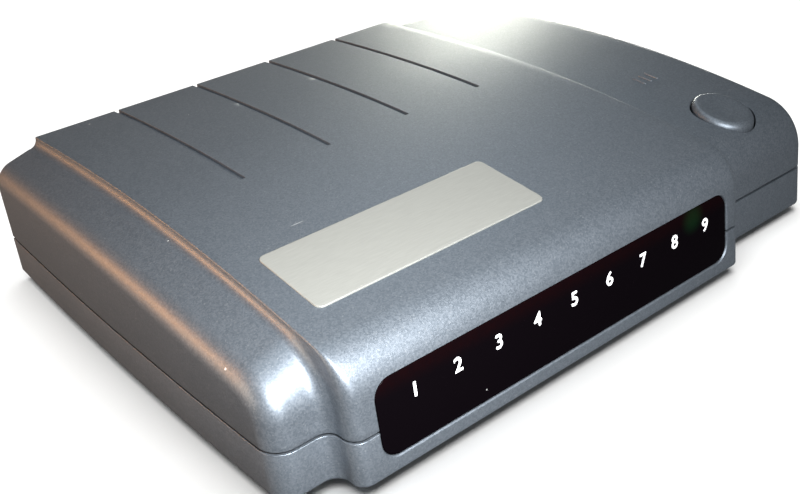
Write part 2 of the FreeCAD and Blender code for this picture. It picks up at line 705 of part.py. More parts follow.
def lobe_and_base(body, draw):
    """Raised lobe with its rounded flanks, then the wider base round it."""
    name = body.Name
    lobe = sketch_on(body, name + "_lobe", "YZ_Plane", D["lobe_left"])
    low, high = draw(lobe, True)
    pad(body, lobe, D["lobe_right"] - D["lobe_left"])

    def on_flank(edge, x):
        flat = is_flat(edge, low.number) or is_flat(edge, high.number)
        return in_plane(edge, x) and not flat and not at_rear(edge)

    round_edges(body, name + "_soft", D["soft_edge"], lambda edge: on_flank(edge, D["lobe_left"].number))
    round_edges(body, name + "_crisp", D["crisp_edge"], lambda edge: on_flank(edge, D["lobe_right"].number))
    base = sketch_on(body, name + "_base", "YZ_Plane", -HALF)
    draw(base, False)
    pad(body, base, D["case_width"])
    round_edges(body, name + "_left", D["left_edge"], lambda edge: on_flank(edge, -HALF.number))
    round_edges(body, name + "_right", D["right_edge"], lambda edge: on_flank(edge, HALF.number))

    def in_valley(edge):
        box = edge.BoundBox
        flat = is_flat(edge, low.number) or is_flat(edge, high.number)
        beside = abs(box.Center.x - D["lobe_left"].number) < 4 * NEAR and box.XLength < 4 * NEAR
        return beside and not flat and not at_rear(edge) and is_crease(body.Tip.Shape, edge)

    round_edges(body, name + "_valley", D["valley_round"], in_valley)


def cover_side(sketch, is_lobe):
    """Side view of the cover's lobe or of its base."""
    if is_lobe:
        case_profile(sketch, FRONT, COVER_LOW, D["crown_height"], D["lobe_nose"])
    else:
        case_profile(sketch, WING_FRONT, COVER_LOW, WING_TOP, D["wing_nose"])
    return COVER_LOW, D["crown_height"]


def crown_cut(sketch, start, sink):
    """Side view of what a groove takes away above a line sunk below the lobe's crown."""
    top = D["crown_height"] - sink
    front_radius = D["front_crown"] - sink
    rear_radius = D["rear_crown"] - sink
    clear = D["crown_height"] + 1
    beyond = REAR + 1
    middle = CROWN_Y.number
    up = Vector(0, 0, 1)
    quarter = math.pi / 2
    rear_angle = math.acos((beyond.number - middle) / rear_radius.number)
    front_angle = math.acos((start.number - middle) / front_radius.number)
    rear_circle = Part.Circle(Vector(middle, top.number - rear_radius.number, 0), up, rear_radius.number)
    front_circle = Part.Circle(Vector(middle, top.number - front_radius.number, 0), up, front_radius.number)
    rear_arc = Part.ArcOfCircle(rear_circle, rear_angle, quarter)
    front_arc = Part.ArcOfCircle(front_circle, quarter, front_angle)
    front_high = Vector(start.number, clear.number, 0)
    rear_high = Vector(beyond.number, clear.number, 0)
    for geometry in (rear_arc, front_arc,
                     Part.LineSegment(front_arc.EndPoint, front_high),
                     Part.LineSegment(front_high, rear_high),
                     Part.LineSegment(rear_high, rear_arc.StartPoint)):
        sketch.addGeometry(geometry, False)
    sketch.addConstraint(Sketcher.Constraint("Tangent", 0, 2, 1, 1))
    for ends in ((1, 2, 2, 1), (2, 2, 3, 1), (3, 2, 4, 1), (4, 2, 0, 1)):
        sketch.addConstraint(Sketcher.Constraint("Coincident", *ends))
    for line, kind in ((2, "Vertical"), (3, "Horizontal"), (4, "Vertical")):
        sketch.addConstraint(Sketcher.Constraint(kind, line))
    hold_value(sketch, "Radius", 0, rear_radius)
    hold_value(sketch, "Radius", 1, front_radius)
    hold(sketch, "DistanceX", 0, 3, CROWN_Y)
    hold(sketch, "DistanceX", 1, 3, CROWN_Y)
    hold(sketch, "DistanceY", 0, 2, top)
    hold(sketch, "DistanceX", 2, 2, start)
    hold(sketch, "DistanceY", 2, 2, clear)
    hold(sketch, "DistanceX", 3, 2, beyond)


def cut_window(body):
    """Recess for the front window and the opening behind it."""
    middle = D["display_middle"]
    half = D["window_width"] / 2 + D["window_gap"]
    low = D["window_low"] - D["window_gap"]
    high = D["window_low"] + D["window_height"] + D["window_gap"]
    recess = front_sketch(body, body.Name + "_recess")
    rounded_rectangle(recess, middle - half, middle + half, low, high, D["window_corner"] + D["window_gap"])
    pocket(body, recess, D["window_sheet"] + D["window_sink"])
    opening = front_sketch(body, body.Name + "_opening")
    rim = D["window_rim"]
    rectangle(opening, middle - half + rim, middle + half - rim, low + rim, high - rim)
    pocket(body, opening, D["wall"] * 2)


def post_places():
    """Plan places of the four screw posts."""
    for side in (-1, 1):
        for behind in (D["post_front"], D["post_rear"]):
            yield D["post_side"] * side, FRONT + behind, behind


def top_cover():
    body = new_body("cover")
    lobe_and_base(body, cover_side)
    below = COVER_LOW - 1
    beyond = REAR + 1
    inside = sketch_on(body, "cover_inside", "YZ_Plane", D["side_wall"] - HALF)
    case_profile(inside, WING_FRONT, below, WING_TOP, D["wing_nose"], D["wall"], beyond)
    pocket(body, inside, D["case_width"] - D["side_wall"] * 2, reverse=True)
    hollow = sketch_on(body, "cover_lobe_inside", "YZ_Plane", D["lobe_left"] + D["wall"])
    case_profile(hollow, FRONT, below, D["crown_height"], D["lobe_nose"], D["wall"], beyond)
    pocket(body, hollow, D["lobe_right"] - D["lobe_left"] - D["wall"] * 2, reverse=True)
    for number, (x, y, behind) in enumerate(post_places()):
        post = sketch_on(body, f"cover_post_{number}", "XY_Plane", D["boss_height"])
        regular(post, x, y, D["post_radius"])
        pad(body, post, roof(behind, WING_TOP) - D["wall"] / 2 - D["boss_height"])
        pilot = sketch_on(body, f"cover_pilot_{number}", "XY_Plane", D["boss_height"])
        regular(pilot, x, y, D["screw_shank"] + NEAR)
        pocket(body, pilot, D["screw_bite"], reverse=True)
    cut_window(body)
    groove = sketch_on(body, "cover_groove", "YZ_Plane",
                       D["display_middle"] - D["groove_pitch"] * 1.5 + D["groove_shift"])
    crown_cut(groove, FRONT + D["groove_start"], D["groove_sink"])
    first_groove = pocket(body, groove, D["groove_width"], both=True)
    repeat(body, first_groove, "X_Axis", D["groove_pitch"] * 3, 4)
    well = sketch_on(body, "cover_well", "XY_Plane", WING_TOP)
    oval(well, D["button_middle"], FRONT + D["button_place"],
         D["button_width"] + D["button_gap"] * 2, D["button_length"] + D["button_gap"] * 2)
    pocket(body, well, D["well_reach"])
    mark = sketch_on(body, "cover_mark", "YZ_Plane",
                     D["button_middle"] - D["mark_pitch"] - D["mark_width"] / 2)
    ends = (D["mark_place"] - D["mark_length"] / 2, D["mark_place"] + D["mark_length"] / 2)
    lift = D["mark_rise"]
    polygon(mark, [(FRONT + ends[0], roof(ends[0], WING_TOP) - 1),
                   (FRONT + ends[1], roof(ends[1], WING_TOP) - 1),
                   (FRONT + ends[1], roof(ends[1], WING_TOP) + lift),
                   (FRONT + ends[0], roof(ends[0], WING_TOP) + lift)])
    first_mark = pad(body, mark, D["mark_width"])
    repeat(body, first_mark, "X_Axis", D["mark_pitch"] * 2, 3)
    node(body, "top_cover")


def case_side(sketch, is_lobe):
    """Side view of the lower case under the lobe or under the base."""
    front = FRONT if is_lobe else WING_FRONT
    low, high = D["foot_height"], CASE_HIGH
    polygon(sketch, [(leaning(front, low), low), (REAR, low), (REAR, high), (leaning(front, high), high)])
    return low, high


def bottom_case():
    body = new_body("case")
    lobe_and_base(body, case_side)
    inset = D["side_wall"] + D["lip_gap"]
    left, right = inset - HALF, HALF - inset
    wing_front = leaning(WING_FRONT, CASE_HIGH) + D["wall"]
    lobe_front = leaning(FRONT, CASE_HIGH) + D["wall"]
    lobe_left, lobe_right = D["lobe_left"] + D["wall"], D["lobe_right"] - D["wall"]
    beyond = REAR + 1
    inside = sketch_on(body, "case_inside", "XY_Plane", CASE_HIGH)
    polygon(inside, [(left, wing_front), (lobe_left, wing_front), (lobe_left, lobe_front),
                     (lobe_right, lobe_front), (lobe_right, wing_front), (right, wing_front),
                     (right, beyond), (left, beyond)])
    pocket(body, inside, CASE_HIGH - FLOOR)
    lips = sketch_on(body, "case_lips", "XY_Plane", FLOOR)
    lip = D["lip_sheet"]
    beside = D["boss_radius"] - 1
    front_post, rear_post = FRONT + D["post_front"], FRONT + D["post_rear"]
    first_y = wing_front + D["lip_lean"] + lip
    for low_y, high_y in ((first_y, front_post - beside), (front_post + beside, rear_post - beside),
                          (rear_post + beside, PANEL_FRONT - lip * 2)):
        rectangle(lips, left, left + lip, low_y, high_y)
        rectangle(lips, right - lip, right, low_y, high_y)
    edge_left = D["display_middle"] - D["window_width"] / 2 + D["window_rim"]
    edge_right = D["display_middle"] + D["window_width"] / 2 - D["window_rim"]
    for left_x, right_x, y in ((left, lobe_left - lip, wing_front), (lobe_right + lip, right, wing_front),
                               (lobe_left, edge_left, lobe_front), (edge_right, lobe_right, lobe_front)):
        rectangle(lips, left_x, right_x, y + D["lip_lean"], y + D["lip_lean"] + lip)
    pad(body, lips, CASE_HIGH + D["lip_rise"] - FLOOR)
    bosses = sketch_on(body, "case_bosses", "XY_Plane", FLOOR)
    heads = sketch_on(body, "case_screw_heads", "XY_Plane", D["foot_height"])
    holes = sketch_on(body, "case_screw_holes", "XY_Plane", D["foot_height"])
    for x, y, behind in post_places():
        regular(bosses, x, y, D["boss_radius"])
        regular(heads, x, y, D["screw_head"] + D["screw_room"], 16)
        regular(holes, x, y, D["screw_hole"])
    pad(body, bosses, D["boss_height"] - FLOOR)
    standoffs = sketch_on(body, "case_standoffs", "XY_Plane", FLOOR)
    threads = sketch_on(body, "case_threads", "XY_Plane", D["board_height"])
    for x, y in board_holes():
        regular(standoffs, x, y, D["standoff_radius"])
        regular(threads, x, y, D["board_screw"] + NEAR)
    pad(body, standoffs, D["board_height"] - FLOOR)
    pocket(body, threads, D["board_height"] - FLOOR)
    pocket(body, heads, D["head_sink"], reverse=True)
    pocket(body, holes, D["boss_height"] - D["foot_height"], reverse=True)
    ribs = sketch_on(body, "case_panel_ribs", "XY_Plane", FLOOR)
    rib = D["lip_sheet"]
    ahead = PANEL_FRONT - D["panel_gap"]
    behind = PANEL_REAR + D["panel_gap"]
    for side in (-1, 1):
        inner, outer = D["post_side"] * side - rib * 2, D["post_side"] * side + rib * 2
        rectangle(ribs, inner, outer, ahead - rib, ahead)
        rectangle(ribs, inner, outer, behind, behind + rib)
    pad(body, ribs, CASE_HIGH - FLOOR)
    cut_window(body)
    slots = sketch_on(body, "case_speaker_slots", "XY_Plane", D["foot_height"])
    x, y = D["speaker_x"] - D["slot_pitch"] * 2.5, FRONT + D["speaker_place"]
    rectangle(slots, x, x + D["slot_width"], y - D["slot_length"] / 2, y + D["slot_length"] / 2)
    first_slot = pocket(body, slots, D["wall"], reverse=True)
    repeat(body, first_slot, "X_Axis", D["slot_pitch"] * 5, 6)
    node(body, "bottom_case")


def board_holes():
    """Plan places of the board screws."""
    for side in (-1, 1):
        for behind in (D["board_screw_front"], D["board_screw_rear"]):
            yield D["board_screw_side"] * side, FRONT + behind


def rear_panel():
    """Plate across the open rear, with cut-outs for the four sockets."""
    body = new_body("panel")
    gap = D["panel_gap"]
    side = HALF - D["side_wall"] - D["lip_gap"] - gap
    low = FLOOR + gap
    base_high = roof(D["case_depth"], WING_TOP) - D["wall"] - gap
    lobe_high = roof(D["case_depth"], D["crown_height"]) - D["wall"] - gap
    lobe_left, lobe_right = D["lobe_left"] + D["wall"] + gap, D["lobe_right"] - D["wall"] - gap
    plate = sketch_on(body, "panel_plate", "XZ_Plane", -PANEL_REAR)
    polygon(plate, [(-side, low), (side, low), (side, base_high), (lobe_right, base_high),
                    (lobe_right, lobe_high), (lobe_left, lobe_high), (lobe_left, base_high),
                    (-side, base_high)])
    pad(body, plate, D["panel_sheet"])
    holes = sketch_on(body, "panel_holes", "XZ_Plane", -PANEL_FRONT)
    socket_outline(holes, gap)
    for middle in (D["line_middle"], D["phone_middle"]):
        half = D["jack_width"] / 2 + gap
        rectangle(holes, middle - half, middle + half, BOARD_TOP - gap, BOARD_TOP + D["jack_height"] + gap)
    half = D["inlet_width"] / 2 + gap
    rectangle(holes, D["power_middle"] - half, D["power_middle"] + half,
              BOARD_TOP - gap, BOARD_TOP + D["inlet_height"] + gap)
    for side in (-1, 1):
        regular(holes, D["serial_middle"] + D["serial_spacing"] * (side / 2), D["serial_height"],
                D["stud_radius"] + NEAR * 2)
    pocket(body, holes, D["panel_sheet"])
    node(body, "rear_panel")


def socket_outline(sketch, grow):
    """Trapezium of the serial connector's mating end, grown or shrunk all round."""
    grow = as_size(grow)
    middle, height = D["serial_middle"], D["serial_height"]
    wide = D["shell_width"] / 2 + grow
    narrow = wide - D["shell_height"] * D["shell_taper"]
    half = D["shell_height"] / 2 + grow
    polygon(sketch, [(middle - narrow, height - half), (middle + narrow, height - half),
                     (middle + wide, height + half), (middle - wide, height + half)])


def display_window():
    """Smoked window that sits in the front recess of both shells."""
    body = new_body("window")
    middle, half = D["display_middle"], D["window_width"] / 2
    sheet_sketch = front_sketch(body, "window_outline", D["window_sink"] + D["window_sheet"])
    rounded_rectangle(sheet_sketch, middle - half, middle + half, D["window_low"],
                      D["window_low"] + D["window_height"], D["window_corner"])
    pad(body, sheet_sketch, D["window_sheet"] - D["window_seat"])
    node(body, "display_window")


def crown_side(sketch, radius, start, end, level):
    """Side view of the space between a level and an arc that runs with the lobe's front crown."""
    centre_z = D["crown_height"] - D["front_crown"]
    centre = Vector(CROWN_Y.number, centre_z.number, 0)
    angles = [math.acos((y.number - centre.x) / radius.number) for y in (end, start)]
    arc = Part.ArcOfCircle(Part.Circle(centre, Vector(0, 0, 1), radius.number), *angles)
    front_level = Vector(start.number, level.number, 0)
    rear_level = Vector(end.number, level.number, 0)
    for geometry in (arc, Part.LineSegment(arc.EndPoint, front_level),
                     Part.LineSegment(front_level, rear_level),
                     Part.LineSegment(rear_level, arc.StartPoint)):
        sketch.addGeometry(geometry, False)
    for ends in ((0, 2, 1, 1), (1, 2, 2, 1), (2, 2, 3, 1), (3, 2, 0, 1)):
        sketch.addConstraint(Sketcher.Constraint("Coincident", *ends))
    for line, kind in ((1, "Vertical"), (2, "Horizontal"), (3, "Vertical")):
        sketch.addConstraint(Sketcher.Constraint(kind, line))
    hold_value(sketch, "Radius", 0, radius)
    hold(sketch, "DistanceX", 0, 3, CROWN_Y)
    hold(sketch, "DistanceY", 0, 3, centre_z)
    hold(sketch, "DistanceX", 1, 2, start)
    hold(sketch, "DistanceY", 1, 2, level)
    hold(sketch, "DistanceX", 2, 2, end)


def nameplate():
    """Thin plate on the lobe, bent to the crown of the top."""
    body = new_body("label")
    half = D["label_width"] / 2
    start = FRONT + D["label_place"] - D["label_depth"] / 2
    end = start + D["label_depth"]
    low = roof(D["label_place"] - D["label_depth"] / 2, D["crown_height"]) - 1
    high = D["crown_height"]
    outline = sketch_on(body, "label_outline", "XY_Plane", low)
    rounded_rectangle(outline, D["label_middle"] - half, D["label_middle"] + half, start, end,
                      D["label_corner"])
    pad(body, outline, high - low)
    under = D["front_crown"] + D["label_glue"]
    for name, radius, level in (("under", under, low), ("over", under + D["label_sheet"], high)):
        side = sketch_on(body, f"label_{name}", "YZ_Plane", D["label_middle"])
        crown_side(side, radius, start - 1, end + 1, level)
        pocket(body, side, D["label_width"] + 2, both=True)
    node(body, "nameplate_label")


def power_button():
    """Oval cap with a sloping top, two keeper tabs and a socket for the switch plunger."""
    body = new_body("button")
    x, y = D["button_middle"], FRONT + D["button_place"]
    top = roof(D["button_place"], WING_TOP) + D["button_rise"]
    low = D["cap_low"]
    half = D["button_length"] / 2
    cap = sketch_on(body, "button_cap", "XY_Plane", low)
    oval(cap, x, y, D["button_width"], D["button_length"])
    pad(body, cap, top + D["button_slope"] * half - low)
    slope = sketch_on(body, "button_slope_cut", "YZ_Plane", x)
    reach = half + 1
    polygon(slope, [(y - reach, top - D["button_slope"] * reach),
                    (y + reach, top + D["button_slope"] * reach),
                    (y + reach, top + D["button_length"]),
                    (y - reach, top + D["button_length"])])
    pocket(body, slope, D["button_width"] + 2, both=True)
    high = low.number + NEAR
    bevel_edges(body, "button_rim", D["button_bevel"], lambda edge: edge.BoundBox.ZMin > high)
    tabs = sketch_on(body, "button_tabs", "XY_Plane", low)
    wide = D["button_width"] / 2 + D["button_gap"] + D["tab_reach"]
    rectangle(tabs, x - wide, x + wide, y - D["tab_length"] / 2, y + D["tab_length"] / 2)
    pad(body, tabs, D["tab_sheet"])
    stem = sketch_on(body, "button_stem", "XY_Plane", D["stem_low"])
    side = D["stem_side"] / 2
    rectangle(stem, x - side, x + side, y - side, y + side)
    pad(body, stem, low - D["stem_low"])
    socket = sketch_on(body, "button_socket", "XY_Plane", D["stem_low"])
    side = D["plunger_side"] / 2 + NEAR
    rectangle(socket, x - side, x + side, y - side, y + side)
    pocket(body, socket, D["plunger_high"] + NEAR - D["stem_low"], reverse=True)
    node(body, "power_button")


def power_switch():
    """Push switch under the button: housing with a square bore, and its plunger."""
    x, y = D["button_middle"], FRONT + D["button_place"]
    side = D["switch_side"]
    housing = block("switch_block", (side, side, D["switch_height"]), (x, y), BOARD_TOP)
    bore_side = D["plunger_side"] + D["plunger_gap"] * 2
    bore_low = BOARD_TOP + D["switch_floor"]
    bore = block("switch_bore", (bore_side, bore_side, D["switch_height"]), (x, y), bore_low)
    node(cut("switch_housing", housing, bore), "power_switch_housing")
    length = D["plunger_high"] - D["plunger_low"]
    size = (D["plunger_side"], D["plunger_side"], length)
    node(block("switch_plunger", size, (x, y), D["plunger_low"]), "power_switch_plunger")


def feet_and_screws():
    """Rubber feet, case screws and board screws."""
    feet = []
    for side in (-1, 1):
        for behind in (D["foot_front"], D["foot_rear"]):
            start = (D["foot_side"] * side, FRONT + behind, 0)
            feet.append(peg(f"foot_{len(feet)}", D["foot_radius"], D["foot_height"], start, 24))
    node(group("feet", feet), "rubber_feet")
    screws = []
    for x, y, behind in post_places():
        number = len(screws)
        head_low = D["foot_height"] + D["head_sink"] - D["head_sheet"]
        head = peg(f"case_screw_head_{number}", D["screw_head"], D["head_sheet"], (x, y, head_low), 12)
        shank = peg(f"case_screw_shank_{number}", D["screw_shank"], D["screw_length"], (x, y, head_low))
        screws.append(fuse(f"case_screw_{number}", [head, shank]))
    node(group("case_screw_set", screws), "case_screws")
    screws = []
    for x, y in board_holes():
        number = len(screws)
        start = (x, y, BOARD_TOP)
        head = peg(f"board_screw_head_{number}", D["board_screw"] * 2, D["head_sheet"], start, 12)
        shank = peg(f"board_screw_shank_{number}", D["board_screw"], D["board_screw_length"],
                    (x, y, BOARD_TOP - D["board_screw_length"]))
        screws.append(fuse(f"board_screw_{number}", [head, shank]))
    node(group("board_screw_set", screws), "board_screws")


def circuit_board():
    """Board with screw holes and a round cut-out for the speaker."""
    body = new_body("board")
    outline = sketch_on(body, "board_outline", "XY_Plane", D["board_height"])
    half = D["board_width"] / 2
    rectangle(outline, -half, half, BOARD_FRONT, BOARD_FRONT + D["board_depth"])
    pad(body, outline, D["board_sheet"])
    holes = sketch_on(body, "board_holes", "XY_Plane", D["board_height"])
    for x, y in board_holes():
        regular(holes, x, y, D["board_screw"] + D["screw_room"])
    regular(holes, D["speaker_x"], FRONT + D["speaker_place"], D["speaker_radius"] + 1, 24)
    pocket(body, holes, D["board_sheet"], reverse=True)
    node(body, "circuit_board")


def indicator_lamps():
    """Nine flat lamps in a slotted holder bar behind the front window."""
    low = D["lamp_height"] - D["lamp_rise"] / 2
    rear = BOARD_FRONT + D["holder_place"] + D["holder_depth"]
    first = D["lamp_middle"] - D["lamp_pitch"] * 4
    width, flange = D["lamp_width"], D["lamp_flange"]
    body = new_body("holder")
    bar = sketch_on(body, "holder_bar", "XZ_Plane", -rear)
    margin = D["lamp_pitch"] * 0.4
    last = first + D["lamp_pitch"] * 8
    rectangle(bar, first - margin, last + margin, BOARD_TOP, low + D["lamp_rise"] * 2)
    pad(body, bar, D["holder_depth"])
    slot = sketch_on(body, "holder_slot", "XZ_Plane", -rear)
    half = width / 2 + NEAR
    rectangle(slot, first - half, first + half, low - NEAR, low + D["lamp_rise"] + NEAR)
    first_slot = pocket(body, slot, D["holder_depth"], reverse=True)
    repeat(body, first_slot, "X_Axis", D["lamp_pitch"] * 8, 9)
    node(body, "lamp_holder")
    for number in range(1, 10):
        x = first + D["lamp_pitch"] * (number - 1)
        lens = block(f"lamp_lens_{number}", (width, D["lamp_length"], D["lamp_rise"]),
                     (x, rear - D["lamp_length"] / 2), low)
        rim = block(f"lamp_rim_{number}", (width + flange * 2, flange * 2, D["lamp_rise"] + flange * 2),
                    (x, rear + flange), low - flange)
        node(fuse(f"lamp_{number}", [lens, rim]), f"indicator_lamp_{number}")


def serial_connector():
    """Twenty-five way connector: metal shell, insulator, contacts and jackscrews."""
    body = new_body("shell")
    middle, height = D["serial_middle"], D["serial_height"]
    flange = sketch_on(body, "shell_flange", "XZ_Plane", -PANEL_FRONT)
    wide, tall = D["flange_width"] / 2, D["flange_height"] / 2
    rectangle(flange, middle - wide, middle + wide, height - tall, height + tall)
    pad(body, flange, D["flange_sheet"])
    sleeve = sketch_on(body, "shell_sleeve", "XZ_Plane", -PANEL_FRONT)
    socket_outline(sleeve, 0)
    pad(body, sleeve, D["shell_rise"], reverse=True)
    hollow = sketch_on(body, "shell_hollow", "XZ_Plane", D["flange_sheet"] - PANEL_FRONT)
    socket_outline(hollow, -D["shell_sheet"])
    pocket(body, hollow, D["shell_rise"] + D["flange_sheet"])
    studs = sketch_on(body, "shell_stud_holes", "XZ_Plane", D["flange_sheet"] - PANEL_FRONT)
    for side in (-1, 1):
        regular(studs, middle + D["serial_spacing"] * (side / 2), height, D["stud_radius"] + NEAR)
    pocket(body, studs, D["flange_sheet"])
    node(body, "serial_connector_shell")
    insulator = new_body("insulator")
    rear_face = PANEL_FRONT + D["shell_rise"] - D["insulator_sink"]
    inside = sketch_on(insulator, "insulator_nose", "XZ_Plane", -rear_face)
    socket_outline(inside, -D["shell_sheet"] - NEAR)
    inner_face = PANEL_FRONT - D["flange_sheet"] - NEAR
    pad(insulator, inside, rear_face - inner_face)
    back = sketch_on(insulator, "insulator_back", "XZ_Plane", -inner_face)
    wide = D["shell_width"] / 2 + D["insulator_ear"]
    rectangle(back, middle - wide, middle + wide, BOARD_TOP, height + D["shell_height"] / 2)
    pad(insulator, back, D["insulator_depth"])
    contacts = []
    side = D["contact_side"]
    contact = D["contact_length"] - D["contact_sink"]
    for row, count in ((1, 13), (-1, 12)):
        z = height + D["contact_row"] * (row / 2)
        start = middle - D["contact_pitch"] * ((count - 1) / 2)
        hole = sketch_on(insulator, f"insulator_row_{count}", "XZ_Plane", -rear_face)
        half = D["contact_side"] / 2 + NEAR * 3
        rectangle(hole, start - half, start + half, z - half, z + half)
        first_hole = pocket(insulator, hole, D["contact_length"], reverse=True)
        repeat(insulator, first_hole, "X_Axis", D["contact_pitch"] * (count - 1), count)
        for number in range(count):
            place_x = start + D["contact_pitch"] * number
            contacts.append(block(f"contact_{count}_{number}", (side, contact, side),
                                  (place_x, rear_face - D["contact_length"] + contact / 2), z - side / 2))
    node(insulator, "serial_connector_insulator")
    node(group("contact_set", contacts), "serial_connector_contacts")
    screws = []
    for side in (-1, 1):
        x = middle + D["serial_spacing"] * (side / 2)
        name = "left" if side < 0 else "right"
        nut = peg(f"jackscrew_{name}_hex", D["jackscrew_radius"], D["jackscrew_rise"],
                  (x, PANEL_REAR, height), 6, "Y")
        stud = peg(f"jackscrew_{name}_stud", D["stud_radius"], D["panel_sheet"] + D["flange_sheet"],
                   (x, PANEL_FRONT - D["flange_sheet"], height), 8, "Y")
        thread = rod(f"jackscrew_{name}_thread", D["jackscrew_hole"], D["jackscrew_rise"],
                     (x, PANEL_REAR + D["thread_wall"], height), "Y")
        screws.append(cut(f"jackscrew_{name}", fuse(f"jackscrew_{name}_blank", [nut, stud]), thread))
    node(group("jackscrew_pair", screws), "serial_jackscrews")


def telephone_jack(name, middle):
    """Six-place telephone socket with its latch slot, and four spring contacts."""
    body = new_body(name)
    half = D["jack_width"] / 2
    outline = sketch_on(body, name + "_outline", "XZ_Plane", -PANEL_REAR)
    rectangle(outline, middle - half, middle + half, BOARD_TOP, BOARD_TOP + D["jack_height"])
    pad(body, outline, D["jack_depth"])
    mouth = sketch_on(body, name + "_mouth", "XZ_Plane", -PANEL_REAR)
    low = BOARD_TOP + D["socket_sill"]
    high = low + D["socket_height"]
    half = D["socket_width"] / 2
    rectangle(mouth, middle - half, middle + half, low, high)
    pocket(body, mouth, D["socket_depth"], reverse=True)
    latch = sketch_on(body, name + "_latch", "XZ_Plane", -PANEL_REAR)
    half = D["latch_width"] / 2
    rectangle(latch, middle - half, middle + half, low - D["latch_drop"], low)
    pocket(body, latch, D["socket_depth"], reverse=True)
    node(body, name)
    wires = []
    side = D["wire_side"]
    back = PANEL_REAR - D["socket_depth"]
    for number in range(4):
        x = middle + D["wire_pitch"] * (number - 1.5)
        wires.append(block(f"{name}_wire_{number}", (side, D["wire_length"], side),
                           (x, back + D["wire_length"] / 2), high - side * 1.4))
    node(group(name + "_wires", wires), name + "_contacts")


def power_inlet():
    """Barrel inlet for the supply lead, and its centre pin."""
    x = D["power_middle"]
    height = BOARD_TOP + D["inlet_height"] / 2
    depth = D["inlet_depth"]
    housing = block("inlet_block", (D["inlet_width"], depth, D["inlet_height"]),
                    (x, PANEL_REAR - depth / 2), BOARD_TOP)
    back = PANEL_REAR - D["inlet_reach"]
    bore = rod("inlet_bore", D["power_bore"], D["inlet_reach"] + 1, (x, back, height), "Y")
    node(cut("inlet", housing, bore), "power_inlet")
    length = D["inlet_reach"] - D["pin_sink"]
    node(rod("inlet_pin", D["power_pin"], length, (x, back, height), "Y"), "power_inlet_pin")


def speaker():
    """Small speaker over the floor slots: frame, stepped paper cone and magnet."""
    x, y = D["speaker_x"], FRONT + D["speaker_place"]
    radius, rise, sheet, wall = D["speaker_radius"], D["speaker_rise"], D["cone_sheet"], D["speaker_wall"]
    cup = peg("speaker_cup", radius, rise, (x, y, FLOOR), 24)
    bore = peg("speaker_bore", radius - wall, rise - wall, (x, y, FLOOR), 24)
    node(cut("speaker_basket", cup, bore), "speaker_frame")
    rim = radius - wall - NEAR * 2
    step = (rim - D["cone_neck"]) / 3
    low = FLOOR + rise - wall - NEAR - sheet * 4
    rings = []
    for number in range(4):
        ring = peg(f"speaker_ring_{number}", rim - step * number, sheet, (x, y, low + sheet * number), 24)
        rings.append(ring)
    node(fuse("speaker_paper", rings), "speaker_cone")
    node(peg("speaker_pot", D["magnet_radius"], D["magnet_rise"], (x, y, FLOOR + rise), 24), "speaker_magnet")


def line_transformer():
    """Isolation transformer: pinned bobbin, laminated core and winding."""
    x, y = D["transformer_x"], FRONT + D["transformer_place"]
    width, depth, high = D["core_width"], D["core_depth"], D["core_height"]
    low = BOARD_TOP + D["bobbin_sheet"]
    node(block("bobbin", (width, depth * 2, D["bobbin_sheet"]), (x, y), BOARD_TOP), "transformer_bobbin")
    frame = block("core_block", (width, depth, high), (x, y), low)
    leg = width / 6
    windows = []
    for side in (-1, 1):
        windows.append(block(f"core_window_{side + 1}", (leg, depth + 2, high - leg * 2),
                             (x + leg * (1.5 * side), y), low + leg))
    core = cut("core", frame, fuse("core_windows", windows))
    node(core, "transformer_core")
    gap = NEAR * 2
    coil_high = high - leg * 2 - gap * 2
    coil = block("coil_block", (leg * 4 - gap * 2, depth + leg * 2, coil_high), (x, y), low + leg + gap)
    limb = block("coil_limb", (leg * 2 + gap, depth + gap * 2, high), (x, y), low)
    wound = bevelled("coil_wound", coil, D["coil_bevel"], lambda edge: edge.BoundBox.ZLength > 1)
    node(cut("coil", wound, limb), "transformer_winding")


def chip(name, x, behind, size, leads):
    """Moulded circuit with bent leads along its two long sides."""
    y = FRONT + behind
    width, depth, rise = size
    pieces = [block(f"{name}_moulding", size, (x, y), BOARD_TOP + D["lead_lift"])]
    pitch = width / leads
    foot = (pitch * 0.4, D["lead_reach"] + D["lead_bury"], D["lead_sheet"])
    beside = depth / 2 + (D["lead_reach"] - D["lead_bury"]) / 2
    for side in (-1, 1):
        for number in range(leads):
            place_x = x + pitch * (number - (leads - 1) / 2)
            lead_place = (place_x, y + beside * side)
            pieces.append(block(f"{name}_lead_{side + 1}_{number}", foot, lead_place, BOARD_TOP))
    node(fuse(f"{name}_whole", pieces), name)


def capacitor(name, x, behind, radius, rise):
    """Can capacitor with a rolled groove near its foot."""
    y = FRONT + behind
    groove = D["can_groove"]
    foot = groove * 3
    base = peg(f"{name}_foot", radius, foot, (x, y, BOARD_TOP), 16)
    neck = peg(f"{name}_neck", radius - groove, groove * 2, (x, y, BOARD_TOP + foot), 16)
    can = peg(f"{name}_can", radius, rise - groove * 5, (x, y, BOARD_TOP + groove * 5), 16)
    node(fuse(f"{name}_whole", [base, neck, can]), name)


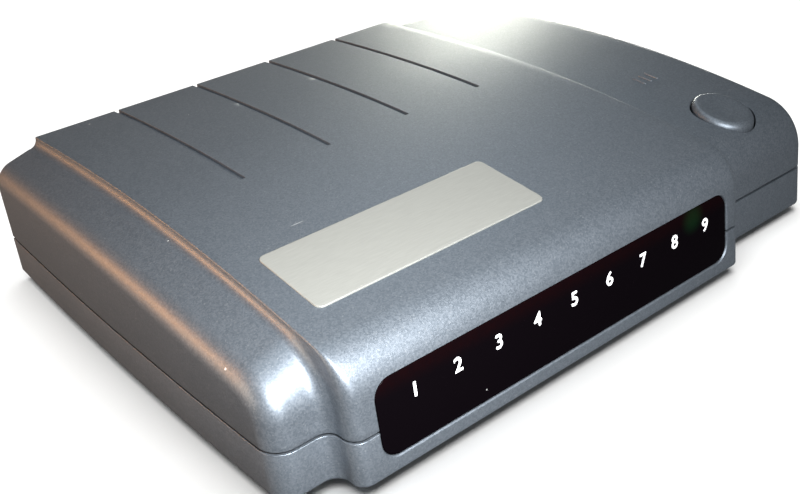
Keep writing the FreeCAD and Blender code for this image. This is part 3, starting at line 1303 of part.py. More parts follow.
def regulator():
    """Power regulator bolted flat against a finned heat sink."""
    body = new_body("sink")
    x, y = D["sink_x"], FRONT + D["sink_place"]
    outline = sketch_on(body, "sink_outline", "XY_Plane", BOARD_TOP)
    half, web, fin = D["sink_width"] / 2, D["sink_web"], D["sink_fin"]
    rectangle(outline, x - half, x + half, y, y + web)
    pad(body, outline, D["sink_rise"])
    fins = sketch_on(body, "sink_fins", "XY_Plane", BOARD_TOP)
    rectangle(fins, x - half, x - half + web, y + web, y + web + fin)
    first_fin = pad(body, fins, D["sink_rise"])
    repeat(body, first_fin, "X_Axis", D["sink_width"] - web, 5)
    node(body, "heat_sink")
    low = BOARD_TOP + D["regulator_lift"]
    wide, thick, tab_sheet = D["regulator_width"], D["regulator_depth"], D["tab_thickness"]
    tab = block("regulator_tab", (wide, tab_sheet, D["tab_rise"]), (x, y - tab_sheet / 2), low)
    hole_place = (x, y - thick, low + D["tab_hole_place"])
    hole = peg("regulator_hole", D["tab_hole"], thick * 2, hole_place, 8, "Y")
    case = block("regulator_case", (wide, thick, D["regulator_rise"]), (x, y - thick / 2), low)
    legs = []
    for number in range(3):
        place_x = x + D["regulator_pitch"] * (number - 1)
        leg = (D["regulator_leg"], D["regulator_leg"], D["regulator_lift"] + NEAR)
        legs.append(block(f"regulator_leg_{number}", leg, (place_x, y - thick / 2), BOARD_TOP))
    node(fuse("regulator_whole", [cut("regulator_drilled", tab, hole), case] + legs), "voltage_regulator")


def line_parts():
    """Hook relay, crystal can and surge disc."""
    y = FRONT + D["relay_place"]
    size = (D["relay_width"], D["relay_depth"], D["relay_rise"])
    relay = block("relay_block", size, (D["relay_x"], y), BOARD_TOP)
    high = BOARD_TOP.number + NEAR
    node(bevelled("relay", relay, D["relay_bevel"], lambda edge: edge.BoundBox.ZMax > high), "hook_relay")
    x, y = D["crystal_x"], FRONT + D["crystal_place"]
    radius, span, rise = D["crystal_radius"], D["crystal_span"], D["crystal_rise"]
    crystal = [block("crystal_middle", (span, radius * 2, rise), (x, y), BOARD_TOP)]
    for side in (-1, 1):
        crystal.append(rod(f"crystal_end_{side + 1}", radius, rise, (x + span * (side / 2), y, BOARD_TOP)))
    node(fuse("crystal", crystal), "crystal_can")
    x, y = D["surge_x"], FRONT + D["surge_place"]
    thick, lift = D["surge_sheet"], D["surge_lift"]
    surge = [peg("surge_disc", D["surge_radius"], thick, (x, y - thick / 2, BOARD_TOP + lift), 20, "Y")]
    for side in (-1, 1):
        leg = (D["surge_leg"], D["surge_leg"], lift)
        surge.append(block(f"surge_leg_{side + 1}", leg, (x + D["surge_pitch"] * (side / 2), y), BOARD_TOP))
    node(fuse("surge", surge), "surge_suppressor")


top_cover()
bottom_case()
rear_panel()
display_window()
nameplate()
power_button()
power_switch()
feet_and_screws()
circuit_board()
indicator_lamps()
serial_connector()
telephone_jack("line_jack", D["line_middle"])
telephone_jack("phone_jack", D["phone_middle"])
power_inlet()
speaker()
line_transformer()
line_parts()
regulator()
LARGE_CHIP = (D["large_chip_width"], D["large_chip_depth"], D["large_chip_rise"])
MEMORY_CHIP = (D["memory_chip_width"], D["memory_chip_depth"], D["flat_chip_rise"])
SMALL_CHIP = (D["small_chip_width"], D["small_chip_depth"], D["flat_chip_rise"])
SECOND_CHIP_X = D["chip_x"] + D["chip_step"]
SECOND_ROW = D["chip_place"] + D["chip_row"]
chip("signal_chip", D["chip_x"], D["chip_place"], LARGE_CHIP, 7)
chip("control_chip", SECOND_CHIP_X, D["chip_place"], LARGE_CHIP, 7)
chip("memory_chip", SECOND_CHIP_X, SECOND_ROW, MEMORY_CHIP, 5)
chip("driver_chip", D["chip_x"] + D["driver_shift"], SECOND_ROW, SMALL_CHIP, 4)
chip("receiver_chip", D["chip_x"] + D["receiver_shift"], SECOND_ROW, SMALL_CHIP, 4)
capacitor("capacitor_1", D["can_x"], D["can_place"], D["can_1_radius"], D["can_1_rise"])
capacitor("capacitor_2", D["can_x"] - D["can_2_shift"], D["can_place"], D["can_2_radius"], D["can_2_rise"])
capacitor("capacitor_3", D["can_x"] - D["can_3_shift"], D["can_place"], D["can_3_radius"], D["can_3_rise"])


# Tests and files

doc.recompute()
for obj in doc.Objects:
    if "Invalid" in obj.State or "Error" in obj.State:
        raise RuntimeError(f"{obj.Name} is {obj.State}")
PLUNGER_ROOM = D["plunger_low"] - D["button_travel"] - BOARD_TOP - D["switch_floor"]
if PLUNGER_ROOM.number < 0:
    raise RuntimeError("the plunger meets the switch's floor before the end of its travel")
for sub_part in nodes:
    if sub_part.Shape.isNull() or not sub_part.Shape.isValid():
        raise RuntimeError(f"{sub_part.Label} has no valid shape")
for sub_part in nodes:
    sub_part.Shape.exportStep(f"parts/{sub_part.Label}.step")
    print(sub_part.Label, round(sub_part.Shape.Volume), len(sub_part.Shape.Solids))
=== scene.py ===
"""Desktop fax modem: the looks of its moulded case, lamp window, label plate, button and rear sockets.

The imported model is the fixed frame. Lengths are metres: +X right, +Y to the rear, +Z up.
"""
import math

import bmesh
import bpy
from bpy.props import FloatProperty, FloatVectorProperty, PointerProperty
from mathutils import Euler, Matrix, Vector


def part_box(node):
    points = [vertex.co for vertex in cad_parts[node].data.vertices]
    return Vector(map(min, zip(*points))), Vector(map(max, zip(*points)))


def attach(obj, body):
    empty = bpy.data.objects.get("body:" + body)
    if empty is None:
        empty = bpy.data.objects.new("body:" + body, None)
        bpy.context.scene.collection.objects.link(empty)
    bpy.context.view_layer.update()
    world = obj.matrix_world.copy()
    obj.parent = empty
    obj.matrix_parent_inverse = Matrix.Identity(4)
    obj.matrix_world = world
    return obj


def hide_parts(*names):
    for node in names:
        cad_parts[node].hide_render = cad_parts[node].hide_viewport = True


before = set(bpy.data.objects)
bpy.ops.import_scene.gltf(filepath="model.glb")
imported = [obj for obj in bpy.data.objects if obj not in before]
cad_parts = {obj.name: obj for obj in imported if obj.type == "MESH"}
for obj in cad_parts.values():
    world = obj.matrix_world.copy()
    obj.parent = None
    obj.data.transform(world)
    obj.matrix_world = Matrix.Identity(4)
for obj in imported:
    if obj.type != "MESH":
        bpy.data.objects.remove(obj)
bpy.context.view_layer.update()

bl_info = {
    "name": "Desktop Fax Modem",
    "version": (1, 0, 0),
    "blender": (4, 5, 0),
    "location": "View3D > Sidebar > Modem",
    "description": "Builds the visible skins and finishes of a desktop fax modem round its packed model",
    "category": "Object",
}

MM = 0.001
CASE_BODY = "case"
BUTTON_BODY = "button"
LAMP_COUNT = 9
SMOOTH_ANGLE = math.radians(28)
WELD = 1e-3 * MM


def length(name, description, millimetres):
    """Length property with its default in millimetres."""
    return FloatProperty(name=name, description=description, default=millimetres * MM, unit="LENGTH",
                         precision=5)


def colour(name, description, red, green, blue):
    """Colour property."""
    return FloatVectorProperty(name=name, description=description, default=(red, green, blue),
                               subtype="COLOR", min=0.0, max=1.0)


def amount(name, description, default):
    """Plain number property."""
    return FloatProperty(name=name, description=description, default=default)


class CaseSizes(bpy.types.PropertyGroup):
    """Sizes of the two moulded shells."""

    width: length("Width", "Case across its widest point", 156.4)
    front: length("Front", "Front face of the lobe at the bottom edge", -63.4)
    rear: length("Rear", "Rear edge of the case", 60.6)
    ground: length("Ground", "Case bottom above the table", 2.0)
    case_high: length("Case top", "Upper edge of the lower case", 11.5)
    cover_low: length("Cover foot", "Lower edge of the cover", 12.1)
    wall: length("Wall", "Moulded wall", 2.4)
    crown_height: length("Crown", "Top of the raised lobe", 35.2)
    crown_y: length("Crown place", "Highest line of the top", 24.6)
    front_crown: length("Front crown", "Radius of the top towards the front", 470.0)
    rear_crown: length("Rear crown", "Radius of the top towards the rear", 800.0)
    slope: amount("Lean", "Run over rise of the leaning front", 0.083)
    side_bow: length("Side bow", "How far the side walls draw in at front and rear", 1.2)
    shoulder_fall: length("Shoulder fall", "How far the shoulder falls away to the left", 1.5)
    lobe_left: length("Lobe left", "Left flank of the raised lobe", -65.5)
    lobe_right: length("Lobe right", "Right flank of the raised lobe", 42.5)
    lobe_nose: length("Lobe nose", "Nose radius of the lobe", 10.0)
    wing_nose: length("Wing nose", "Nose radius of the shoulder and the wing", 11.5)
    wing_drop: length("Wing drop", "Shoulder and wing below the lobe", 2.5)
    wing_setback: length("Wing setback", "Shoulder and wing behind the lobe's front", 6.8)
    soft_edge: length("Soft edge", "Rounding of the lobe's left edge at the front", 3.0)
    soft_top: length("Soft top", "Rounding of the lobe's left edge on the top", 0.25)
    crisp_edge: length("Crisp edge", "Rounding of the lobe's right edge at the front", 2.4)
    crisp_top: length("Crisp top", "Rounding of the lobe's right edge on the top", 0.4)
    valley_round: length("Valley", "Hollow between shoulder and lobe at the front", 3.0)
    valley_top: length("Valley top", "Hollow between shoulder and lobe on the top", 2.2)
    flank_turn: amount("Flank", "Degrees that the lobe's left flank stands up on the top", 84.0)
    left_edge: length("Left edge", "Rounding of the left corner at the front", 4.5)
    left_top: length("Left top", "Rounding of the left edge on the top", 3.9)
    right_edge: length("Right edge", "Rounding of the right corner and edge", 3.0)
    bottom_edge: length("Bottom edge", "Rounding of the bottom edge", 0.8)
    rim_round: length("Rim", "Rounding of the shells' open rims", 0.1)
    rim_wide: length("Rim width", "Lower case's rim in front of its shadow groove", 0.55)
    rim_groove: length("Rim groove", "Depth of the shadow groove", 1.0)
    lip_gap: length("Lip gap", "Gap between the lower case's lip and the cover", 0.15)
    lip_sheet: length("Lip", "Lip that closes the parting gap", 1.2)
    lip_rise: length("Lip rise", "Lip above the lower case", 2.5)
    groove_start: length("Groove start", "Front ends of the top grooves", 0.6)
    groove_pitch: length("Groove pitch", "Spacing of the top grooves", 22.5)
    groove_middle: length("Groove middle", "Middle of the row of grooves", -10.3)
    groove_width: length("Groove width", "Top groove", 1.2)
    groove_sink: length("Groove depth", "Depth of a top groove", 0.8)
    screw_side: length("Screw side", "Case screws either side of the middle", 70.5)
    screw_front: length("Screw front", "Front case screws", -27.4)
    screw_rear: length("Screw rear", "Rear case screws", 44.6)
    screw_well: length("Screw well", "Radius of the screw recesses", 3.1)
    screw_sink: length("Screw depth", "Screw heads above the case bottom", 3.6)
    slot_x: length("Slot x", "Middle of the speaker slots", -37.3)
    slot_y: length("Slot y", "Middle of the speaker slots", -17.4)
    slot_pitch: length("Slot pitch", "Spacing of the speaker slots", 3.4)
    slot_width: length("Slot width", "Speaker slot", 1.4)
    slot_length: length("Slot length", "Speaker slot", 15.0)


class TrimSizes(bpy.types.PropertyGroup):
    """Sizes of the window, its numbers, the label, the button and the finger marks."""

    window_middle: length("Window middle", "Middle of the front window", -11.0)
    window_width: length("Window width", "Front window", 97.0)
    window_low: length("Window low", "Lower edge above the case bottom, along the face", 3.4)
    window_height: length("Window height", "Front window along the leaning face", 16.0)
    window_sheet: length("Window sheet", "Thickness of the window", 1.2)
    window_gap: length("Window gap", "Gap round the window", 0.15)
    window_corner: length("Window corner", "Corner radius", 3.6)
    window_rim: length("Window rim", "Ledge that the window is stuck to", 2.4)
    window_sink: length("Window sink", "Window's face behind the front face", 0.2)
    window_flare: length("Window flare", "Bevel round the window's recess", 0.25)
    lamp_middle: length("Lamp middle", "Middle lamp", -10.3)
    lamp_pitch: length("Lamp pitch", "Spacing of the lamps", 10.16)
    number_row: length("Number row", "Middle of the numbers above the case bottom, along the face", 14.1)
    number_size: length("Number size", "Text size of the numbers", 4.2)
    number_bold: length("Number weight", "Thickening of the numbers' strokes", 0.1)
    label_middle: length("Label middle", "Middle of the label plate", -30.75)
    label_y: length("Label place", "Middle of the label plate front to back", -37.2)
    label_width: length("Label width", "Label plate", 56.6)
    label_depth: length("Label depth", "Label plate front to back", 19.6)
    label_sheet: length("Label sheet", "Thickness of the label plate", 0.3)
    label_glue: length("Label glue", "Glue under the label plate", 0.02)
    label_corner: length("Label corner", "Corner radius of the label plate", 1.5)
    label_edge: length("Label edge", "Rounded edge of the label plate", 0.2)
    button_x: length("Button x", "Middle of the power button", 60.6)
    button_y: length("Button y", "Middle of the power button", -43.6)
    button_width: length("Button width", "Power button across", 13.4)
    button_length: length("Button length", "Power button front to back", 14.8)
    button_gap: length("Button gap", "Gap round the button", 0.4)
    button_rise: length("Button rise", "Button above the wing", 1.0)
    button_slope: amount("Button slope", "Slope of the button's top", 0.24)
    button_round: length("Button round", "Rounding of the button's rim", 1.4)
    button_dish: length("Button dish", "Hollow in the middle of the button", 0.2)
    button_low: length("Button low", "Foot of the button cap", 23.2)
    well_reach: length("Well reach", "Foot of the button well", 19.7)
    mark_y: length("Mark place", "Middle of the finger marks", -20.4)
    mark_pitch: length("Mark pitch", "Spacing of the finger marks", 2.3)
    mark_width: length("Mark width", "Finger mark", 0.7)
    mark_length: length("Mark length", "Finger mark front to back", 4.4)
    mark_rise: length("Mark rise", "Finger mark above the wing", 0.22)


class FinishColours(bpy.types.PropertyGroup):
    """Colours of the finishes."""

    case: colour("Case", "Slate of the moulded shells", 0.142, 0.168, 0.198)
    flake: colour("Flake", "Light flakes in the shells' plastic", 0.32, 0.35, 0.39)
    dust: colour("Dust", "Dust specks and scratches", 0.55, 0.56, 0.55)
    window: colour("Window", "Smoked window", 0.0015, 0.001, 0.0015)
    window_band: colour("Window band", "Tint along the window's top", 0.0035, 0.001, 0.0013)
    # The lit lamp's glow is painted onto the window as emission, not cast by a light
    lamp_glow: colour("Lamp glow", "Glow of the lit lamp", 0.01, 0.12, 0.03)
    number: colour("Numbers", "Printed numbers", 0.86, 0.86, 0.88)
    label: colour("Label", "Silver label plate", 0.25, 0.255, 0.238)
    rubber: colour("Rubber", "Feet", 0.022, 0.022, 0.024)
    black: colour("Black plastic", "Sockets and holders", 0.016, 0.016, 0.018)
    steel: colour("Steel", "Plated steel", 0.62, 0.61, 0.58)
    gold: colour("Gold", "Contacts", 0.78, 0.56, 0.20)
    board: colour("Board", "Circuit board's resist", 0.02, 0.13, 0.05)


class StageSettings(bpy.types.PropertyGroup):
    """Camera and light."""

    camera_place: FloatVectorProperty(name="Camera", description="Place of the camera", unit="LENGTH",
                                      default=(-0.14247, -0.18463, 0.12972), precision=5)
    camera_turn: FloatVectorProperty(name="Camera turn", description="Turn of the camera", subtype="EULER",
                                     default=tuple(math.radians(a) for a in (60.845, 4.747, -39.281)))
    camera_lens: amount("Lens", "Focal length in millimetres on a 36 mm sensor", 48.55)
    world: amount("World", "Strength of the white surround", 0.13)
    key: amount("Key", "Power of the softbox overhead", 1.55)
    sheen: amount("Sheen", "Power of the high light behind on the right", 0.36)
    wash: amount("Wash", "Power of the light on the floor alone", 28.5)
    flash: amount("Flash", "Power of the lamp beside the camera", 0.43)
    side: amount("Side", "Power of the warm light on the left", 1.6)
    warm: amount("Warm", "Power of the warm light behind on the left", 2.1)
    glare: amount("Glare", "Power of the low light behind on the right", 3.75)
    glint: amount("Glint", "Power of the small light on the lobe's right edge", 1.4)


# Shared helpers

def case_sizes():
    """The shells' sizes."""
    return bpy.context.scene.modem_case


def trim_sizes():
    """The trim's sizes."""
    return bpy.context.scene.modem_trim


def colours():
    """The finishes' colours."""
    return bpy.context.scene.modem_colours


def spread(count):
    """Even shares from 0 to 1 in count steps."""
    return [step / count for step in range(count + 1)]


def mix(low, high, share):
    """Value between two others."""
    return low + (high - low) * share


def row(count):
    """Steps of an even row from its middle."""
    return [number - (count - 1) / 2 for number in range(count)]


def mesh_from(name, points, faces):
    """Mesh with welded points and outward faces, smooth between its sharp edges."""
    shape = bmesh.new()
    corners = [shape.verts.new(point) for point in points]
    for face in faces:
        ring = [corners[index] for index in dict.fromkeys(face)]
        if len(ring) > 2:
            shape.faces.new(ring)
    bmesh.ops.remove_doubles(shape, verts=shape.verts, dist=WELD)
    bmesh.ops.dissolve_degenerate(shape, edges=shape.edges, dist=WELD)
    bmesh.ops.recalc_face_normals(shape, faces=shape.faces)
    return finished_mesh(name, shape)


def finished_mesh(name, shape):
    """Smooth mesh of an edited shape, which is freed."""
    mesh = bpy.data.meshes.new(name)
    shape.to_mesh(mesh)
    shape.free()
    return smoothed(mesh)


def smoothed(mesh):
    """Smooth shading with sharp edges kept."""
    mesh.polygons.foreach_set("use_smooth", [True] * len(mesh.polygons))
    mesh.set_sharp_from_angle(angle=SMOOTH_ANGLE)
    return mesh


def add_object(name, data):
    """Object in the scene."""
    made = bpy.data.objects.new(name, data)
    bpy.context.scene.collection.objects.link(made)
    return made


def final_mesh(thing):
    """Mesh of an object with its modifiers applied."""
    return bpy.data.meshes.new_from_object(thing.evaluated_get(bpy.context.evaluated_depsgraph_get()))


def piece(name, mesh, body, slot, finish, *nodes):
    """Piece that rides on a body, wears a finish and stands for CAD nodes."""
    made = add_object(name, mesh)
    made.data.materials.clear()
    made.data.materials.append(finish)
    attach(made, body)
    if nodes:
        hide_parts(*nodes)
    return made


def dress(finishes):
    """Give CAD nodes their plain finishes."""
    for name, nodes in finishes.items():
        for node in nodes:
            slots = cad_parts[node].data.materials
            slots.clear()
            slots.append(plain_finish(name))


def bridge(first, second):
    """Faces between two closed loops of point numbers."""
    count = len(first)
    return [(first[i], first[(i + 1) % count], second[(i + 1) % count], second[i]) for i in range(count)]


def loft(name, rings):
    """Closed solid through rings of equal count, capped at both ends."""
    points = [point for ring in rings for point in ring]
    count = len(rings[0])
    loops = [list(range(start, start + count)) for start in range(0, len(points), count)]
    faces = [loops[0], loops[-1]]
    for first, second in zip(loops, loops[1:]):
        faces += bridge(first, second)
    return mesh_from(name, points, faces)


def join(name, meshes):
    """One mesh of several."""
    shape = bmesh.new()
    for mesh in meshes:
        shape.from_mesh(mesh)
    return finished_mesh(name, shape)


def carve(mesh, cutters):
    """Mesh less a list of closed cutters."""
    body = add_object("carved", mesh)
    tools = [add_object("cutter", cutter) for cutter in cutters]
    for tool in tools:
        step = body.modifiers.new("cut", "BOOLEAN")
        step.operation = "DIFFERENCE"
        step.solver = "EXACT"
        step.object = tool
    result = final_mesh(body)
    if not result.polygons:
        raise RuntimeError(f"nothing is left of {mesh.name} after carving")
    for used in [body] + tools:
        data = used.data
        bpy.data.objects.remove(used)
        bpy.data.meshes.remove(data)
    return smoothed(result)


def rounded_outline(x, y, half_x, half_y, radius, steps=8):
    """Rectangle with round corners about its middle, as flat points."""
    points = []
    for side, end, start in ((1, -1, -90), (1, 1, 0), (-1, 1, 90), (-1, -1, 180)):
        for share in spread(steps):
            angle = math.radians(start + 90 * share)
            points.append((x + side * (half_x - radius) + radius * math.cos(angle),
                           y + end * (half_y - radius) + radius * math.sin(angle)))
    return points


def oval(x, y, half_width, half_length, steps=72):
    """Ellipse as flat points."""
    turns = [math.tau * step / steps for step in range(steps)]
    return [(x + half_width * math.cos(turn), y + half_length * math.sin(turn)) for turn in turns]


def level(outline, height):
    """Flat points at a height."""
    return [Vector((x, y, height)) for x, y in outline]


def turned(name, x, y, levels, steps):
    """Upright round solid through (radius, height) levels."""
    return loft(name, [level(oval(x, y, radius, radius, steps), height) for radius, height in levels])


def quarter(radius, steps):
    """Inset and drop along a quarter-round edge, from its side to its face."""
    angles = [math.radians(90 * share) for share in spread(steps)]
    return [(radius * (1 - math.cos(angle)), radius * (1 - math.sin(angle))) for angle in angles]


def face_frame():
    """Matrix from the leaning front face (across, up, outwards) to the frame."""
    sizes = case_sizes()
    lean = math.atan(sizes.slope)
    up = Vector((0, math.sin(lean), math.cos(lean)))
    out = Vector((0, -math.cos(lean), math.sin(lean)))
    matrix = Matrix((Vector((1, 0, 0)), up, out)).transposed().to_4x4()
    matrix.translation = (0, sizes.front, sizes.ground)
    return matrix


def on_face(outline, out):
    """Flat points on the leaning face, raised or sunk."""
    matrix = face_frame()
    return [matrix @ Vector((across, up, out)) for across, up in outline]


# Housing form, with the number of steps along each part of its skins

FACE_STEPS = 5
NOSE_STEPS = 22
FRONT_CROWN_STEPS = 44
REAR_CROWN_STEPS = 20
LEFT_EDGE_STEPS = 10
SHOULDER_STEPS = 8
FLANK_STEPS = 9
LOBE_STEPS = 44
LOBE_EDGE_STEPS = 6
WING_STEPS = 14
RIGHT_EDGE_STEPS = 9
WALL_STEPS = 24
RIM_STEPS = 3
BOTTOM_STEPS = 5


class Form:
    """One skin of the housing, drawn inset from the outside."""

    least = 0.3 * MM

    def __init__(self, sizes, inset=0.0):
        def shrunk(*radii):
            return [max(radius - inset, self.least) for radius in radii]

        self.slope = sizes.slope
        self.ground = sizes.ground
        self.crown_y = sizes.crown_y
        self.half = sizes.width / 2 - inset
        self.bow = sizes.side_bow
        self.fall = sizes.shoulder_fall
        self.rear = sizes.rear - inset
        self.middle_y = (sizes.front + sizes.rear) / 2
        self.half_depth = (sizes.rear - sizes.front) / 2
        self.front = sizes.front + inset
        self.wing_front = sizes.front + sizes.wing_setback + inset
        self.top = sizes.crown_height - inset
        self.wing_top = self.top - sizes.wing_drop
        self.lobe_nose = sizes.lobe_nose - inset
        self.wing_nose = sizes.wing_nose - inset
        self.front_crown = sizes.front_crown - inset
        self.rear_crown = sizes.rear_crown - inset
        self.lobe_left = sizes.lobe_left + inset
        self.lobe_right = sizes.lobe_right - inset
        # Each pair holds a value at the front and a value on the top
        self.soft = shrunk(sizes.soft_edge, sizes.soft_top)
        self.crisp = shrunk(sizes.crisp_edge, sizes.crisp_top)
        self.valley = [sizes.valley_round + inset, sizes.valley_top + inset]
        self.flank = [math.pi / 2, math.radians(sizes.flank_turn)]
        self.left = shrunk(sizes.left_edge, sizes.left_top)
        self.right_round = shrunk(sizes.right_edge)[0]

    def side(self, y):
        """Distance of the bowed side walls from the middle."""
        radius = (self.half_depth ** 2 + self.bow ** 2) / (2 * self.bow)
        return self.half - radius + math.sqrt(radius ** 2 - (y - self.middle_y) ** 2)

    def roof(self, y, top):
        """Height of the crowned top."""
        radius = self.front_crown if y < self.crown_y else self.rear_crown
        return top - radius + math.sqrt(radius ** 2 - (y - self.crown_y) ** 2)

    def drape(self, outline, top, lift):
        """Flat points laid on a crowned top and lifted off it."""
        return [Vector((x, y, self.roof(y, top) + lift)) for x, y in outline]


def side_profile(form, front, top, nose, low, rear):
    """Points (y, z) and outward normals of a side view: leaning front, round nose and crowned top."""
    lean = math.atan(form.slope)
    rise = Vector((math.sin(lean), math.cos(lean)))
    outward = Vector((-math.cos(lean), math.sin(lean)))
    foot = Vector((front + form.slope * (low - form.ground), low))
    hub = Vector((form.crown_y, top - form.front_crown))
    rear_hub = Vector((form.crown_y, top - form.rear_crown))
    reach = form.front_crown - nose
    start = foot - outward * nose - hub
    along = start.dot(rise)
    centre = hub + start + rise * (math.sqrt(along ** 2 - start.dot(start) + reach ** 2) - along)
    crest = math.atan2(centre.y - hub.y, centre.x - hub.x)
    last = math.acos((rear - form.crown_y) / form.rear_crown)
    points = [(foot.lerp(centre + outward * nose, share), outward) for share in spread(FACE_STEPS)]
    arcs = ((centre, nose, math.pi - lean, crest, NOSE_STEPS),
            (hub, form.front_crown, crest, math.pi / 2, FRONT_CROWN_STEPS),
            (rear_hub, form.rear_crown, math.pi / 2, last, REAR_CROWN_STEPS))
    for middle, radius, begin, end, steps in arcs:
        for share in spread(steps)[1:]:
            angle = mix(begin, end, share)
            normal = Vector((math.cos(angle), math.sin(angle)))
            points.append((middle + normal * radius, normal))
    return points


def cross_section(form, base, normal, lobe):
    """Points across the housing: left wall, shoulder, valley, lobe, wing and right wall."""
    reach = lobe - base
    step = reach.dot(normal)
    upward = max(0.0, normal.y) ** 2
    pairs = (form.left, form.soft, form.crisp, form.valley, form.flank)
    left, soft, crisp, valley, steep = (mix(*pair, upward) for pair in pairs)
    turn = min(steep, math.acos(max(0.0, 1 - step / (soft + valley))))
    flank = max(0.0, step - (soft + valley) * (1 - math.cos(turn))) / math.sin(turn)
    crest = form.lobe_left + soft
    hollow = crest - (soft + valley) * math.sin(turn) - flank * math.cos(turn)
    shelf = form.lobe_right - crisp

    def edge(side, radius, angle):
        spot = base - normal * (radius * (1 - math.cos(angle)))
        return Vector((side * (form.side(spot.x) - radius * (1 - math.sin(angle))), spot.x, spot.y))

    def raised(x, rise):
        spot = base + reach * (rise / step)
        return Vector((x, spot.x, spot.y))

    def flat(begin, end, rise, steps):
        return [raised(mix(begin, end, share), rise) for share in spread(steps)[1:-1]]

    def bend(x, rise, across, up, angles):
        return [raised(x + across * math.sin(angle), rise + up * (1 - math.cos(angle))) for angle in angles]

    def turns(whole, steps):
        return [whole * share for share in spread(steps)]

    right_angle = math.pi / 2
    points = [edge(-1, left, angle) for angle in reversed(turns(right_angle, LEFT_EDGE_STEPS))]
    shoulder = points[-1].x
    points += flat(shoulder, hollow, 0, SHOULDER_STEPS)
    for point in points:
        point.z -= form.fall * upward * (hollow - point.x) / (hollow - shoulder)
    points += bend(hollow, 0, valley, valley, turns(turn, FLANK_STEPS))
    points += bend(crest, step, -soft, -soft, reversed(turns(turn, FLANK_STEPS)))
    points += flat(crest, shelf, step, LOBE_STEPS)
    points += bend(shelf, step, crisp, -crisp, turns(right_angle, LOBE_EDGE_STEPS))
    points.append(raised(form.lobe_right, 0))
    wing = edge(1, form.right_round, 0).x
    points += flat(form.lobe_right, wing, 0, WING_STEPS)
    points += [edge(1, form.right_round, angle) for angle in turns(right_angle, RIGHT_EDGE_STEPS)]
    return points


def skin_rows(form, low, rear):
    """Grid of a cover skin: a cross section for each point of the side view, with the walls' feet."""
    base = side_profile(form, form.wing_front, form.wing_top, form.wing_nose, low, rear)
    lobe = side_profile(form, form.front, form.top, form.lobe_nose, low, rear)
    rows = []
    for (spot, normal), (high, _) in zip(base, lobe):
        line = cross_section(form, spot, normal, high)
        for point in line:
            point.z = max(point.z, low)
        feet = [Vector((point.x, point.y, low)) for point in (line[0], line[-1])]
        rows.append([feet[0]] + line + [feet[1]])
    return rows


def rim_loop(rows):
    """Row and column of each point round a skin's open rim, with the way that the rim faces."""
    last_row, last_column = len(rows) - 1, len(rows[0]) - 1
    down, back = Vector((0, 0, -1)), Vector((0, 1, 0))
    loop = [(line, 0, down) for line in range(last_row - 1, -1, -1)]
    loop += [(0, column, down) for column in range(1, last_column)]
    loop += [(line, last_column, down) for line in range(last_row)]
    loop.append((last_row, last_column, down + back))
    loop += [(last_row, column, back) for column in range(last_column - 1, 0, -1)]
    loop.append((last_row, 0, down + back))
    return loop


def cover_mesh():
    """Closed cover: outer skin, rounded rim and inner skin."""
    sizes = case_sizes()
    edge = sizes.rim_round
    outer = skin_rows(Form(sizes), sizes.cover_low + edge, sizes.rear - edge)
    inner = skin_rows(Form(sizes, sizes.wall), sizes.cover_low, sizes.rear)
    points, faces, loops = [], [], []
    loop = rim_loop(outer)
    width = len(outer[0])
    for rows in (outer, inner):
        start = len(points)
        points += [point for line in rows for point in line]
        for line in range(len(rows) - 1):
            for column in range(width - 1):
                corner = start + line * width + column
                faces.append((corner, corner + 1, corner + width + 1, corner + width))
        loops.append([start + line * width + column for line, column, facing in loop])
    rings = [loops[0]]
    for inset, drop in quarter(edge, RIM_STEPS)[1:]:
        ring = []
        for line, column, facing in loop:
            inward = inner[line][column] - outer[line][column] - facing * edge
            ring.append(len(points))
            points.append(outer[line][column] + inward.normalized() * inset + facing * (edge - drop))
        rings.append(ring)
    rings.append(loops[1])
    for first, second in zip(rings, rings[1:]):
        faces += bridge(first, second)
    return mesh_from("top_cover_skin", points, faces)


def plan_ring(form, height):
    """Closed plan of the lower case at a height: left wall, front with its lobe, right wall."""
    lean = form.slope * (height - form.ground)
    base = Vector((form.wing_front + lean, height))
    lobe = Vector((form.front + lean, height))
    front = cross_section(form, base, Vector((-1, 0)), lobe)
    walls = []
    for side, end in ((-1, front[0].y), (1, front[-1].y)):
        depths = [mix(form.rear, end, share) for share in spread(WALL_STEPS)[:-1]]
        walls.append([Vector((side * form.side(y), y, height)) for y in depths])
    return walls[0] + front + walls[1][::-1]


def tray_mesh():
    """Closed lower case: floor, lip, rim, leaning outside and rounded bottom."""
    sizes = case_sizes()
    floor = sizes.ground + sizes.wall
    lip_out = sizes.wall + sizes.lip_gap
    lip_in = lip_out + sizes.lip_sheet
    lip_top = sizes.case_high + sizes.lip_rise
    groove = sizes.case_high - sizes.rim_groove
    levels = [(lip_in, floor), (lip_in, lip_top), (lip_out, lip_top), (lip_out, groove),
              (sizes.rim_wide, groove), (sizes.rim_wide, sizes.case_high)]
    levels += [(inset, sizes.case_high - drop) for inset, drop in quarter(sizes.rim_round, RIM_STEPS)[::-1]]
    levels += [(inset, sizes.ground + drop) for inset, drop in quarter(sizes.bottom_edge, BOTTOM_STEPS)]
    return loft("bottom_case_skin", [plan_ring(Form(sizes, inset), height) for inset, height in levels])


# Cutters

GROOVE_COUNT = 4
GROOVE_STEPS = 40
GROOVE_FLARE = 0.05 * MM
GROOVE_OVERRUN = 1.0 * MM
WELL_FLARE = 0.25 * MM
FLOOR_FLARE = 0.3 * MM
SLOT_COUNT = 6
SLOT_END = 0.98
BAR_STEPS = 5
SCREW_STEPS = 40
REAR_DEPTH = 6.0 * MM
REAR_HEIGHT = 20.0 * MM
REAR_SIDE_CUT = 0.3 * MM
OPENING_WALLS = 3


def window_outline(grow):
    """Outline of the front window on the leaning face, grown all round."""
    trim = trim_sizes()
    half = trim.window_height / 2
    return rounded_outline(trim.window_middle, trim.window_low + half, trim.window_width / 2 + grow,
                           half + grow, trim.window_corner + grow)


